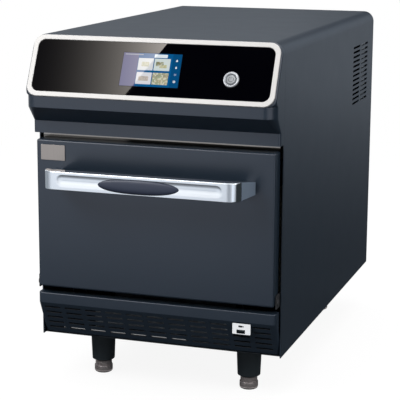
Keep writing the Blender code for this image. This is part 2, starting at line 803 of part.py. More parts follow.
def hood_corner(z):
    """The plan radius of the hood's front corner: it opens round the frame's lower corner."""
    low = slope_run(z) - (BEZEL_BELOW_EDGE + BEZEL_HEIGHT - BEZEL_CORNER)
    edge = HALF - BEZEL_LENGTH / 2
    if low <= 0:
        return edge + RUN_GAP
    low = min(low, BEZEL_CORNER)
    inset = BEZEL_CORNER - math.sqrt(max(BEZEL_CORNER ** 2 - low ** 2, 0))
    return min(edge + RUN_GAP + inset, HOOD_CORNER)


def hood_levels():
    """Heights down the hood with the front's reach and the corner radius at each."""
    slope_bottom = CASE_HEIGHT - (HOOD_REACH - HOOD_TOP_REACH) / math.tan(HOOD_SLOPE)
    levels = []
    for angle in (90, 72, 54, 36, 18, 0):
        z = CASE_HEIGHT - CASE_CORNER + CASE_CORNER * math.sin(math.radians(angle))
        levels.append(z)
    turn = CASE_HEIGHT - (BEZEL_BELOW_EDGE + BEZEL_HEIGHT - BEZEL_CORNER) * math.cos(HOOD_SLOPE)
    for share in (0, 0.4, 0.7, 0.9, 1):
        levels.append(turn + (slope_bottom - turn) * share)
    rows = [(z, HOOD_TOP_REACH + (CASE_HEIGHT - z) * math.tan(HOOD_SLOPE), hood_corner(z)) for z in levels]
    rows.append((HOOD_BAND_BOTTOM, HOOD_REACH, HOOD_CORNER))
    rows.append((HOOD_LIP_TOP, HOOD_LIP_REACH, HOOD_LIP_CORNER))
    rows.append((HOOD_BOTTOM, HOOD_LIP_REACH, HOOD_LIP_CORNER))
    return rows


def hood_row(z, reach, corner, steps=5):
    """One level of the hood: from the left side's back edge round the front to the right's."""
    half = hood_half_width(z)
    back = -SEAT_GAP
    left = [(-half, back)]
    for i in range(steps + 1):
        angle = math.pi / 2 * i / steps
        left.append((-half + corner - corner * math.cos(angle), -reach + corner - corner * math.sin(angle)))
    return [at(x, y, z) for x, y in left + [(-x, y) for x, y in reversed(left)]]


def control_hood():
    rows = [hood_row(*level) for level in hood_levels()]
    obj = solidify(from_bmesh(shell(rows, close=True)), HOOD_SHEET, -1)
    window = local_box((DISPLAY_WIDTH + 2 * RUN_GAP, DISPLAY_HEIGHT + 2 * RUN_GAP, DISPLAY_DEPTH * 2))
    window.parent = face_frame
    window.location = (0, -DISPLAY_DROP, 0)
    hole = turned_cylinder(BUTTON_BARREL_RADIUS + SEAT_GAP, -BUTTON_DEPTH, BUTTON_DEPTH)
    hole.parent = face_frame
    hole.location = (BUTTON_X, -BUTTON_DROP, 0)
    return keep(cut(obj, window, hole), "control_hood", PAINT)


def turned_cylinder(radius, low, high, sides=24):
    """An upright cylinder round its own axis."""
    bm = bmesh.new()
    bmesh.ops.create_cone(bm, cap_ends=True, segments=sides, radius1=radius, radius2=radius, depth=high - low)
    bmesh.ops.translate(bm, vec=(0, 0, (low + high) / 2), verts=bm.verts)
    return from_bmesh(bm)


def make_face_frame():
    """An empty at the middle of the sloping face: its Z axis points out of the face."""
    run = BEZEL_BELOW_EDGE + BEZEL_HEIGHT / 2
    y = -HOOD_TOP_REACH - run * math.sin(HOOD_SLOPE)
    z = CASE_HEIGHT - run * math.cos(HOOD_SLOPE)
    empty = bpy.data.objects.new("face_frame", None)
    bpy.context.scene.collection.objects.link(empty)
    empty.location = at(0, y, z)
    empty.rotation_euler = (math.pi / 2 - HOOD_SLOPE, 0, 0)
    return empty


def on_face(obj, name, mat, x=0, y=0, z=0):
    """Places a piece on the sloping face."""
    obj.parent = face_frame
    obj.location = (x, y, z)
    return keep(obj, name, mat)


def bezel_frame():
    rim = rounded(BEZEL_LENGTH, BEZEL_HEIGHT, BEZEL_CORNER, 8)
    opening = rounded(BEZEL_LENGTH - 2 * BEZEL_BAND, BEZEL_HEIGHT - 2 * BEZEL_BAND, BEZEL_INNER_CORNER, 8)
    obj = plate([rim, opening], BEZEL_PROUD - SEAT_GAP)
    bevel(obj, BEZEL_PROUD / 4, 1)
    on_face(obj, "bezel_frame", BRUSHED, z=(BEZEL_PROUD + SEAT_GAP) / 2)


def glass_panel():
    gap = 2 * SEAT_GAP
    rim = rounded(BEZEL_LENGTH - 2 * BEZEL_BAND - gap, BEZEL_HEIGHT - 2 * BEZEL_BAND - gap,
                  BEZEL_INNER_CORNER - SEAT_GAP, 6)
    window = rounded(DISPLAY_WIDTH + gap, DISPLAY_HEIGHT + gap, RUN_GAP, 1, (0, -DISPLAY_DROP))
    hole = circle(BUTTON_BARREL_RADIUS + SEAT_GAP, 24, (BUTTON_X, -BUTTON_DROP))
    obj = plate([rim, window, hole], GLASS_THICKNESS)
    on_face(obj, "glass_panel", GLASS, z=SEAT_GAP + GLASS_THICKNESS / 2)


def display_module():
    """The touch screen comes through the hood and the glass, and its flange seats behind the sheet."""
    top = SEAT_GAP + GLASS_THICKNESS
    slab = local_box((DISPLAY_WIDTH, DISPLAY_HEIGHT, DISPLAY_DEPTH + top), (0, 0, (top - DISPLAY_DEPTH) / 2))
    apply_place(slab)
    back = -HOOD_SHEET - SEAT_GAP
    flange = local_box((DISPLAY_WIDTH + 2 * DISPLAY_FLANGE, DISPLAY_HEIGHT + 2 * DISPLAY_FLANGE, FLANGE_THICKNESS))
    flange.location = (0, -DISPLAY_DROP, back - FLANGE_THICKNESS / 2)
    flange.parent = face_frame
    add(slab, flange)
    on_face(slab, "display_module", SCREEN, y=-DISPLAY_DROP)


def apply_place(obj):
    """Moves an object's own place into its mesh."""
    bpy.context.view_layer.update()
    obj.data.transform(obj.matrix_basis)
    obj.matrix_basis = Matrix.Identity(4)
    return obj


def control_board():
    obj = local_box((BOARD_WIDTH, BOARD_HEIGHT, BOARD_THICKNESS))
    chip = local_box((BOARD_HEIGHT / 3, BOARD_HEIGHT / 3, BOARD_THICKNESS * 3))
    chip.parent = face_frame
    depth = -DISPLAY_DEPTH - SEAT_GAP - BOARD_THICKNESS / 2
    chip.location = (BOARD_WIDTH / 4, 0, depth - BOARD_THICKNESS)
    add(obj, chip)
    on_face(obj, "control_board", CIRCUIT, z=depth)


def power_button():
    top = SEAT_GAP + GLASS_THICKNESS + SEAT_GAP
    crown = top + BUTTON_HEAD
    ring = turned([
        (BUTTON_CAP_RADIUS + SEAT_GAP, crown - RUN_GAP), (BUTTON_CAP_RADIUS + 2 * RUN_GAP, crown),
        (BUTTON_HEAD_RADIUS - 2 * RUN_GAP, crown), (BUTTON_HEAD_RADIUS, crown - 2 * RUN_GAP),
        (BUTTON_HEAD_RADIUS, top), (BUTTON_BARREL_RADIUS, top), (BUTTON_BARREL_RADIUS, -BUTTON_DEPTH),
        (BUTTON_CAP_RADIUS + SEAT_GAP, -BUTTON_DEPTH)])
    on_face(ring, "button_ring", CHROME, BUTTON_X, -BUTTON_DROP)
    cap_foot = -BUTTON_DEPTH + BUTTON_TRAVEL + RUN_GAP
    cap = turned([
        (0, crown), (BUTTON_CAP_RADIUS - 2 * RUN_GAP, crown), (BUTTON_CAP_RADIUS, crown - RUN_GAP),
        (BUTTON_CAP_RADIUS, cap_foot), (0, cap_foot)])
    on_face(cap, "power_button", CHROME, BUTTON_X, -BUTTON_DROP)
    nut = plate([circle(BUTTON_NUT_WIDTH / 2, 6), circle(BUTTON_BARREL_RADIUS + SEAT_GAP, 24)],
                BUTTON_NUT_THICKNESS)
    depth = HOOD_SHEET + SEAT_GAP + BUTTON_NUT_THICKNESS / 2
    on_face(nut, "button_nut", STAINLESS, BUTTON_X, -BUTTON_DROP, -depth)


# Door

def hinge_point(x=0):
    return at(x, -HINGE_REACH, HINGE_HEIGHT)


def to_hinge(obj):
    """Moves an object's origin onto the hinge line, its mesh staying where it is."""
    bpy.context.view_layer.update()
    obj.data.transform(Matrix.Translation(-hinge_point()) @ obj.matrix_world)
    obj.matrix_world = Matrix.Translation(hinge_point())
    return obj


def door_skin():
    bm = bmesh.new()
    bmesh.ops.create_cube(bm, size=1.0)
    size = (2 * DOOR_HALF_WIDTH, DOOR_REACH, DOOR_TOP - DOOR_BOTTOM)
    bmesh.ops.scale(bm, vec=size, verts=bm.verts)
    back = [f for f in bm.faces if f.normal.y > 0.5]
    bmesh.ops.delete(bm, geom=back, context="FACES_ONLY")
    obj = from_bmesh(bm, at(0, -DOOR_REACH / 2, (DOOR_TOP + DOOR_BOTTOM) / 2))
    to_hinge(obj)
    bevel(obj, DOOR_EDGE, 3)
    solidify(obj, SHEET, -1)
    reach = DOOR_HALF_WIDTH + OVERRUN
    bore = rod(HINGE_PIN_RADIUS + SEAT_GAP, (-reach, -HINGE_REACH, HINGE_HEIGHT),
               (reach, -HINGE_REACH, HINGE_HEIGHT))
    return keep(cut(obj, bore), "door_skin", PAINT)


def door_liner():
    """The inner door plate with its raised plug and two latch hooks."""
    edge = SHEET + SEAT_GAP
    half = DOOR_HALF_WIDTH - edge
    low = DOOR_BOTTOM + edge
    high = DOOR_TOP - edge
    front = -DOOR_PLATE_SET_BACK - CAVITY_SHEET
    face = -DOOR_PLATE_SET_BACK
    obj = plate([rounded(2 * half, high - low, DOOR_EDGE - edge, 2)], face - front)
    upright(obj, 0, (front + face) / 2, (low + high) / 2)
    plug_half = CAVITY_HALF_WIDTH - PLUG_GAP
    plug_low = CAVITY_BOTTOM + PLUG_GAP
    plug_high = CAVITY_TOP - PLUG_GAP
    middle = (plug_low + plug_high) / 2
    plug = plate([rounded(2 * plug_half, plug_high - plug_low, PLUG_CORNER, 3)], PLUG_DEPTH - face + OVERRUN / 8)
    upright(plug, 0, (PLUG_DEPTH + face - OVERRUN / 8) / 2, middle)
    bevel(plug, CAVITY_SHEET / 2, 1)
    inside = box((-plug_half + SHEET * 2, front - OVERRUN, plug_low + SHEET * 2),
                 (plug_half - SHEET * 2, PLUG_DEPTH - SHEET, plug_high - SHEET * 2))
    hooks = []
    for side in (-1, 1):
        x = side * LATCH_X
        hook = prism([
            (face - OVERRUN / 8, LATCH_HEIGHT - LATCH_TALL / 2), (LATCH_DEPTH, LATCH_HEIGHT - LATCH_TALL / 2),
            (LATCH_DEPTH, LATCH_HEIGHT + LATCH_TALL / 4), (LATCH_DEPTH * 0.5, LATCH_HEIGHT + LATCH_TALL / 2),
            (LATCH_DEPTH * 0.4, LATCH_HEIGHT), (face - OVERRUN / 8, LATCH_HEIGHT)],
            x - LATCH_THICK / 2, x + LATCH_THICK / 2)
        hooks.append(hook)
    add(obj, plug, group(hooks))
    cut(obj, inside)
    to_hinge(obj)
    return keep(obj, "door_liner", STAINLESS)


def door_gasket():
    inner_w = 2 * (CAVITY_HALF_WIDTH - PLUG_GAP + SEAT_GAP)
    inner_h = CAVITY_TOP - CAVITY_BOTTOM - 2 * (PLUG_GAP - SEAT_GAP)
    face = -DOOR_PLATE_SET_BACK + SEAT_GAP
    back = FRAME_SET_BACK - SEAT_GAP
    rim = rounded(inner_w + 2 * GASKET_WIDTH, inner_h + 2 * GASKET_WIDTH, PLUG_CORNER + GASKET_WIDTH, 4)
    hole = rounded(inner_w, inner_h, PLUG_CORNER, 3)
    obj = plate([rim, hole], back - face)
    upright(obj, 0, (face + back) / 2, CAVITY_MIDDLE)
    to_hinge(obj)
    return keep(obj, "door_gasket", RUBBER)


def hinge_block(side):
    """The bored block inside the door that turns on the hinge pin."""
    edge = SHEET + SEAT_GAP
    outer = DOOR_HALF_WIDTH - edge
    inner = outer - HINGE_PIN_RADIUS * 3
    low = DOOR_BOTTOM + edge
    xs = sorted((side * inner, side * outer))
    block = box((xs[0], -DOOR_REACH + edge, low),
                (xs[1], -DOOR_PLATE_SET_BACK - CAVITY_SHEET - SEAT_GAP, HINGE_HEIGHT + HINGE_PIN_RADIUS * 3))
    bore = rod(HINGE_PIN_RADIUS + SEAT_GAP, (xs[0] - OVERRUN, -HINGE_REACH, HINGE_HEIGHT),
               (xs[1] + OVERRUN, -HINGE_REACH, HINGE_HEIGHT))
    bevel(block, DOOR_EDGE / 2, 2)
    cut(block, bore)
    return to_hinge(block)


def hinge_bracket(side):
    """A plate beside the door with the hinge pin, and a foot behind the front frame."""
    inner = DOOR_HALF_WIDTH + HINGE_PLATE_GAP
    outer = inner + HINGE_PLATE
    xs = sorted((side * inner, side * outer))
    tall = HINGE_PIN_RADIUS * 3
    back = FRAME_BACK + SEAT_GAP
    obj = box((xs[0], -HINGE_REACH - tall / 2, HINGE_HEIGHT - tall * 0.75),
              (xs[1], back + tall, HINGE_HEIGHT + tall))
    wool_edge = CAVITY_HALF_WIDTH + CAVITY_SHEET + SEAT_GAP + WOOL + RUN_GAP * 2
    foot_xs = sorted((side * wool_edge, side * (inner + HINGE_PLATE / 2)))
    foot = box((foot_xs[0], back, HINGE_HEIGHT - tall / 4), (foot_xs[1], back + HINGE_PLATE * 2, HINGE_HEIGHT + tall))
    pin = rod(HINGE_PIN_RADIUS, (side * (inner - tall), -HINGE_REACH, HINGE_HEIGHT),
              (side * (inner + HINGE_PLATE / 2), -HINGE_REACH, HINGE_HEIGHT))
    head = rod(HINGE_PIN_RADIUS * 1.3, (side * (inner + HINGE_PLATE / 2), -HINGE_REACH, HINGE_HEIGHT),
               (side * (outer + HINGE_PLATE * 0.7), -HINGE_REACH, HINGE_HEIGHT))
    return add(obj, foot, pin, head)


def latch_housing(side):
    """A block behind the front frame that takes the latch hook and holds its switch."""
    front = FRAME_BACK + SEAT_GAP
    slot_half = LATCH_THICK / 2 + SEAT_GAP * 3
    x = side * LATCH_X
    wall = SHEET * 1.6
    obj = box((x - slot_half - wall, front, LATCH_HEIGHT - LATCH_TALL * 1.2),
              (x + slot_half + wall, front + LATCH_DEPTH * 2, LATCH_HEIGHT + LATCH_TALL * 1.2))
    hollow = box((x - slot_half, front - OVERRUN, LATCH_HEIGHT - LATCH_TALL),
                 (x + slot_half, LATCH_DEPTH + RUN_GAP * 2, LATCH_HEIGHT + LATCH_TALL))
    return cut(obj, hollow)


def badge_plate():
    obj = plate([rounded(BADGE_WIDTH, BADGE_TALL, BADGE_THICKNESS, 2)], BADGE_THICKNESS)
    upright(obj, -BADGE_SIDE, -DOOR_REACH - SEAT_GAP - BADGE_THICKNESS / 2, BADGE_HEIGHT)
    to_hinge(obj)
    return keep(obj, "badge_plate", STAINLESS)


# Handle

def handle_outline():
    """The handle from above: splayed legs, round corners and a straight bar, as (x, y) points."""
    foot = -DOOR_REACH - SEAT_GAP
    front = -HANDLE_REACH
    right = [(HANDLE_FOOT_HALF, foot), (HANDLE_HALF, front + HANDLE_CORNER)]
    for i in range(1, 7):
        angle = math.pi / 2 * i / 6
        right.append((HANDLE_HALF - HANDLE_CORNER + HANDLE_CORNER * math.cos(angle),
                      front + HANDLE_CORNER - HANDLE_CORNER * math.sin(angle)))
    back = front + HANDLE_BAR
    inner_x = HANDLE_HALF - HANDLE_LEG
    inner_corner = HANDLE_CORNER / 2
    inside = [(HANDLE_FOOT_HALF - HANDLE_LEG, foot), (inner_x, back + inner_corner)]
    for i in range(1, 4):
        angle = math.pi / 2 * i / 3
        inside.append((inner_x - inner_corner + inner_corner * math.cos(angle),
                       back + inner_corner - inner_corner * math.sin(angle)))
    outer = right + [(-x, y) for x, y in reversed(right)]
    inner = [(-x, y) for x, y in inside] + [(x, y) for x, y in reversed(inside)]
    return outer + inner


def grip_outline(half, tall, steps=20):
    """An almond, pointed at both ends, as (x, z) points anticlockwise from the right tip."""
    points = []
    for i in range(2 * steps):
        x = half * math.cos(math.pi * i / steps)
        rise = (1 - abs(x / half) ** 2.2) ** 0.72
        points.append((x, tall / 2 * rise * (1 if i < steps else -1)))
    return points


def door_handle():
    obj = plate([handle_outline()], HANDLE_TALL)
    middle = HANDLE_BOTTOM + HANDLE_TALL / 2
    obj.location = at(0, 0, middle)
    bevel(obj, HANDLE_EDGE, 2)
    top = HANDLE_BOTTOM + HANDLE_TALL
    foot = -DOOR_REACH
    knee = -HANDLE_REACH + HANDLE_CORNER
    wedge = prism([
        (foot + OVERRUN, top - HANDLE_FOOT_DROP - OVERRUN * HANDLE_FOOT_DROP / (foot - knee)),
        (foot + OVERRUN, top + OVERRUN), (knee, top + OVERRUN), (knee, top)], -HALF, HALF)
    front = -HANDLE_REACH
    channel = plate([rounded(2 * CHANNEL_HALF, CHANNEL_TALL, CHANNEL_TALL * 0.49, 6)], 2 * CHANNEL_DEPTH)
    upright(channel, 0, front, middle + CHANNEL_RISE)
    bevel(channel, CHANNEL_DEPTH * 0.9, 3)
    gap = 2 * SEAT_GAP
    pocket = plate([grip_outline(GRIP_HALF + gap, GRIP_TALL + gap)], 2 * POCKET_DEPTH)
    upright(pocket, 0, front, middle - GRIP_DROP)
    cut(obj, wedge, channel, pocket)
    to_hinge(obj)
    return keep(obj, "door_handle", CHROME)


def handle_grip():
    """The grip in the handle's pocket: an almond with a crowned face."""
    middle = HANDLE_BOTTOM + HANDLE_TALL / 2 - GRIP_DROP
    floor = -HANDLE_REACH + POCKET_DEPTH - SEAT_GAP
    shares = ((1.0, 0.0), (1.0, 0.55), (0.90, 0.80), (0.62, 0.95), (0.26, 1.0))
    crown = -HANDLE_REACH - GRIP_CROWN
    rows = []
    for spread, height in shares:
        y = floor + (crown - floor) * height
        outline = grip_outline(GRIP_HALF * spread, GRIP_TALL * spread)
        rows.append([at(x, y, middle + z) for x, z in outline + outline[:1]])
    bm = shell(rows)
    bmesh.ops.holes_fill(bm, edges=[e for e in bm.edges if e.is_boundary])
    bmesh.ops.recalc_face_normals(bm, faces=bm.faces)
    obj = from_bmesh(bm)
    to_hinge(obj)
    return keep(obj, "handle_grip", RUBBER)


# Lower vent panel

def bevel_chain(obj, points, width, segments=3):
    """Rounds the side edges that run through a chain of (y, z) points in casing coordinates."""
    bm = bmesh.new()
    bm.from_mesh(obj.data)
    places = [at(0, y, z).yz for y, z in points]
    on_chain = {v for v in bm.verts if any((v.co.yz - place).length < WELD for place in places)}
    edges = [e for e in bm.edges if all(v in on_chain for v in e.verts) and e.calc_length() < CASE_WIDTH / 2]
    bmesh.ops.bevel(bm, geom=edges, offset=width, segments=segments, profile=0.5, affect="EDGES")
    bm.to_mesh(obj.data)
    bm.free()
    return obj


def grille_face(z):
    """How far back the vent panel's sloping face lies at a height."""
    return -GRILLE_REACH + (GRILLE_BAND_BOTTOM - z) * math.tan(GRILLE_SLOPE)


def on_grille(obj):
    """Lays a flat plate on the sloping face, its origin under the band."""
    obj.location = at(0, -GRILLE_REACH, GRILLE_BAND_BOTTOM)
    obj.rotation_euler = (math.pi / 2 + GRILLE_SLOPE, 0, 0)
    return obj


def lower_grille():
    """A folded panel: a band with round ends, a sloping face full of slots and a flange on the pan."""
    half = GRILLE_HALF_WIDTH
    wall = GRILLE_SHEET
    front = -GRILLE_REACH
    low = PAN_FLOOR + SEAT_GAP
    chain = [(front, GRILLE_TOP), (front, GRILLE_BAND_BOTTOM), (grille_face(low), low)]
    body = prism(chain + [
        (GRILLE_FLANGE, low), (GRILLE_FLANGE, low + GRILLE_FLANGE / 2),
        (-GRILLE_CHEEK_SET, GRILLE_BAND_BOTTOM - GRILLE_CHEEK_DROP), (-GRILLE_CHEEK_SET, GRILLE_TOP)], -half, half)
    bevel_chain(body, chain, GRILLE_CORNER)
    inside = wall / math.cos(GRILLE_SLOPE)
    turn = GRILLE_BAND_BOTTOM + wall * math.tan(GRILLE_SLOPE / 2)
    inner = [(front + wall, GRILLE_TOP - wall), (front + wall, turn),
             (grille_face(low + wall) + inside, low + wall)]
    hollow = prism(inner + [(GRILLE_FLANGE + OVERRUN, low + wall), (GRILLE_FLANGE + OVERRUN, GRILLE_TOP - wall)],
                   -half + wall, half - wall)
    bevel_chain(hollow, inner, GRILLE_CORNER - wall)
    run = (GRILLE_BAND_BOTTOM - low) / math.cos(GRILLE_SLOPE)
    pitch = (run - SLOT_FIRST - SLOT_LAST) / (SLOT_ROWS - 1)
    slots = []
    for column in range(SLOT_COLUMNS):
        x = (column - (SLOT_COLUMNS - 1) / 2) * SLOT_PITCH_X
        for row in range(SLOT_ROWS):
            if column == PORT_COLUMN and row < PORT_ROWS:
                continue
            centre = (x, -SLOT_FIRST - row * pitch)
            slots.append(on_grille(plate([slot(SLOT_LENGTH, SLOT_TALL, centre)], 4 * wall)))
    width, tall = port_neck()
    neck = box((PORT_X - width / 2 - SEAT_GAP, front, PORT_HEIGHT - tall / 2 - SEAT_GAP),
               (PORT_X + width / 2 + SEAT_GAP, GRILLE_FLANGE, PORT_HEIGHT + tall / 2 + SEAT_GAP))
    cut(body, hollow, group(slots), neck)
    return keep(body, "lower_grille", PAINT)


def port_neck():
    """The data port's neck where it goes through the vent panel: its width and height."""
    return SOCKET_WIDTH + 4 * GRILLE_SHEET, PORT_TALL * 0.75


def data_port():
    """A port with an upright face: a wedge on the sloping panel and a neck through it."""
    low = PORT_HEIGHT - PORT_TALL / 2
    high = PORT_HEIGHT + PORT_TALL / 2
    gap = SEAT_GAP / math.cos(GRILLE_SLOPE)
    obj = prism([
        (-PORT_REACH, high), (-PORT_REACH, low), (grille_face(low) - gap, low), (grille_face(high) - gap, high)],
        PORT_X - PORT_WIDTH / 2, PORT_X + PORT_WIDTH / 2)
    width, tall = port_neck()
    neck = box((PORT_X - width / 2, -PORT_REACH * 0.9, PORT_HEIGHT - tall / 2),
               (PORT_X + width / 2, PORT_REACH * 0.2, PORT_HEIGHT + tall / 2))
    x = PORT_X - SOCKET_SHIFT
    z = PORT_HEIGHT - SOCKET_DROP
    front = -PORT_REACH
    socket = box((x - SOCKET_WIDTH / 2, front - OVERRUN, z - SOCKET_TALL / 2),
                 (x + SOCKET_WIDTH / 2, front + SOCKET_DEPTH, z + SOCKET_TALL / 2))
    tongue = box((x - SOCKET_WIDTH / 2 + GRILLE_SHEET, front + SEAT_GAP, z + SEAT_GAP),
                 (x + SOCKET_WIDTH / 2 - GRILLE_SHEET, front + SOCKET_DEPTH + OVERRUN, z + SEAT_GAP + TONGUE))
    cut(socket, tongue)
    return keep(cut(add(obj, neck), socket), "data_port", PLASTIC)


def air_filter():
    """The washable filter behind the slots: a pleated mesh in a raised border."""
    low = PAN_FLOOR + SEAT_GAP
    half = PORT_X - PORT_WIDTH
    high = low + FILTER_TALL
    obj = box((-half, FILTER_BACK - FILTER_THICKNESS, low), (half, FILTER_BACK, high))
    step = 2 * (half - FILTER_BORDER) / FILTER_PLEATS
    front = FILTER_BACK - FILTER_THICKNESS
    pleat = FILTER_THICKNESS / 4
    rim = [(-half + FILTER_BORDER + i * step, front + pleat * (1 + i % 2)) for i in range(FILTER_PLEATS + 1)]
    rim += [(half - FILTER_BORDER, front - OVERRUN), (-half + FILTER_BORDER, front - OVERRUN)]
    recess = plate([rim], FILTER_TALL - 2 * FILTER_BORDER)
    recess.location = at(0, 0, (low + high) / 2)
    return keep(cut(obj, recess), "air_filter", GALVANISED)


# Cavity

def front_frame():
    middle = (FRAME_TOP + FRAME_BOTTOM) / 2
    rim = rounded(2 * FRAME_HALF_WIDTH, FRAME_TOP - FRAME_BOTTOM, FRAME_SHEET, 2, (0, middle))
    mouth = rounded(2 * CAVITY_HALF_WIDTH, CAVITY_TOP - CAVITY_BOTTOM, CAVITY_CORNER, 4,
                    (0, CAVITY_MIDDLE))
    slots = [rounded(LATCH_THICK + 6 * SEAT_GAP, 2 * LATCH_TALL, RUN_GAP, 1, (side * LATCH_X, LATCH_HEIGHT))
             for side in (-1, 1)]
    obj = plate([rim, mouth] + slots, FRAME_SHEET)
    upright(obj, 0, FRAME_SET_BACK + FRAME_SHEET / 2, 0)
    return keep(obj, "front_frame", STAINLESS)


def liner_box(grow, front, back):
    """The cavity's box grown on every side, between two depths."""
    half = CAVITY_HALF_WIDTH + grow
    tall = CAVITY_TOP - CAVITY_BOTTOM + 2 * grow
    obj = plate([rounded(2 * half, tall, CAVITY_CORNER + grow, 3)], back - front)
    return upright(obj, 0, (front + back) / 2, CAVITY_MIDDLE)


def back_holes(radius_gap):
    """Cutters for the shaft and the heater's two tails."""
    tools = [rod(SHAFT_RADIUS + radius_gap, (0, DIVIDER_BACK + WOOL, BLOWER_HEIGHT),
                 (0, CAVITY_BACK + 3 * WOOL, BLOWER_HEIGHT))]
    for side in (-1, 1):
        tools.append(rod(HEATER_WIRE + radius_gap, (side * HEATER_TAIL_X, DIVIDER_BACK + WOOL, HEATER_TAIL_Z),
                         (side * HEATER_TAIL_X, CAVITY_BACK + 3 * WOOL, HEATER_TAIL_Z)))
    return group(tools)


def cavity_liner():
    front = FRAME_BACK + SEAT_GAP
    obj = liner_box(CAVITY_SHEET, front, CAVITY_BACK + CAVITY_SHEET)
    inside = liner_box(0, front - OVERRUN, CAVITY_BACK)
    floor = box((-FLOOR_HOLE_HALF, WAVE_MIDDLE - FLOOR_HOLE_HALF, CAVITY_BOTTOM - WOOL),
                (FLOOR_HOLE_HALF, WAVE_MIDDLE + FLOOR_HOLE_HALF, CAVITY_BOTTOM + CAVITY_SHEET))
    cut(obj, inside, floor, back_holes(SEAT_GAP))
    return keep(obj, "cavity_liner", STAINLESS)


def cavity_insulation():
    front = FRAME_BACK + SEAT_GAP
    grow = CAVITY_SHEET + SEAT_GAP
    half = CAVITY_HALF_WIDTH + grow + WOOL
    back = CAVITY_BACK + grow
    obj = box((-half, front, CAVITY_BOTTOM - grow - WOOL), (half, back + WOOL, CAVITY_TOP + grow + WOOL))
    inside = liner_box(grow, front - OVERRUN, back)
    hole = WAVE_HALF + SEAT_GAP
    well = box((-hole, WAVE_MIDDLE - hole, CAVITY_BOTTOM - 2 * WOOL), (hole, WAVE_MIDDLE + hole, CAVITY_BOTTOM))
    cut(obj, inside, well, back_holes(SEAT_GAP))
    return keep(obj, "cavity_insulation", WOOL_MAT)


def jet_plate():
    """The perforated ceiling plate that blows hot air down, folded up along its front and sides."""
    half = CAVITY_HALF_WIDTH - SEAT_GAP
    front = FRAME_BACK + PLUG_DEPTH
    back = DIVIDER_BACK - SEAT_GAP
    low = CAVITY_TOP - PLENUM
    obj = liner_box(-SEAT_GAP, front, back)
    below = box((-HALF, front - OVERRUN, CAVITY_BOTTOM - OVERRUN), (HALF, back + OVERRUN, low))
    hollow = box((-half + CAVITY_CORNER, front + CAVITY_SHEET, low + CAVITY_SHEET),
                 (half - CAVITY_CORNER, back + OVERRUN, CAVITY_TOP + OVERRUN))
    pitch_x = 2 * (half - JET_MARGIN_X) / (JET_COLUMNS - 1)
    pitch_y = (back - front - 2 * JET_MARGIN_Y) / (JET_ROWS - 1)
    jets = []
    for column in range(JET_COLUMNS):
        for row in range(JET_ROWS):
            x = -half + JET_MARGIN_X + column * pitch_x
            y = front + JET_MARGIN_Y + row * pitch_y
            jets.append(rod(JET_RADIUS, (x, y, low - OVERRUN), (x, y, low + CAVITY_SHEET * 2), 6))
    cut(obj, below, hollow, group(jets))
    return keep(obj, "jet_plate", STAINLESS)


def return_grille():
    """The divider at the back of the cavity, perforated where the blower draws air in."""
    half = CAVITY_HALF_WIDTH - SEAT_GAP
    low = CAVITY_BOTTOM + CERAMIC + 2 * SEAT_GAP
    high = CAVITY_TOP - PLENUM - SEAT_GAP
    rim = rounded(2 * half, high - low, CAVITY_CORNER / 2, 2, (0, (low + high) / 2))
    holes = []
    for column in range(-2, 3):
        for row in range(-2, 3):
            if abs(column) + abs(row) < 4:
                holes.append(circle(RETURN_RADIUS, 6, (column * RETURN_PITCH, BLOWER_HEIGHT + row * RETURN_PITCH)))
    obj = plate([rim] + holes, DIVIDER_SHEET)
    upright(obj, 0, DIVIDER_BACK + DIVIDER_SHEET / 2, 0)
    return keep(obj, "return_grille", STAINLESS)


def ceramic_floor():
    half = CAVITY_HALF_WIDTH - CAVITY_CORNER
    front = FRAME_BACK + PLUG_DEPTH
    low = CAVITY_BOTTOM + SEAT_GAP
    obj = box((-half, front, low), (half, DIVIDER_BACK - SEAT_GAP, low + CERAMIC))
    return keep(bevel(obj, CERAMIC / 5, 1), "ceramic_floor", CERAMIC_MAT)


def rack_rail(side):
    """A folded rail on the cavity's side wall that carries the rack."""
    wall = side * (CAVITY_HALF_WIDTH - SEAT_GAP)
    inner = side * (CAVITY_HALF_WIDTH - RAIL_REACH)
    sheet = CAVITY_SHEET
    front = FRAME_BACK + 2 * PLUG_DEPTH
    back = DIVIDER_BACK - SEAT_GAP
    shelf = RACK_HEIGHT - RACK_RIM - SEAT_GAP
    xs = sorted((wall, inner))
    lip = sorted((wall, wall - side * sheet))
    obj = box((xs[0], front, shelf - sheet), (xs[1], back, shelf))
    upper = box((lip[0], front, shelf - sheet), (lip[1], back, shelf + RAIL_REACH))
    return add(obj, upper)


def wire_rack():
    """A rim of thick wire with thinner wires across it, welded."""
    half = CAVITY_HALF_WIDTH - SEAT_GAP - CAVITY_SHEET - RACK_RIM - RUN_GAP
    front = FRAME_BACK + 2 * PLUG_DEPTH + RACK_INSET
    back = DIVIDER_BACK - RACK_INSET
    middle = (front + back) / 2
    outline = rounded(2 * half, back - front, RACK_INSET, 3, (0, middle))
    rim = wire([(x, y, RACK_HEIGHT) for x, y in outline], RACK_RIM, 1, cyclic=True)
    pitch = 2 * (half - RACK_INSET) / (RACK_BARS - 1)
    for i in range(RACK_BARS):
        x = -half + RACK_INSET + i * pitch
        bar = rod(RACK_WIRE, (x, front, RACK_HEIGHT), (x, back, RACK_HEIGHT), 6)
        add(rim, bar)
    return keep(rim, "wire_rack", STAINLESS)


# Hot air

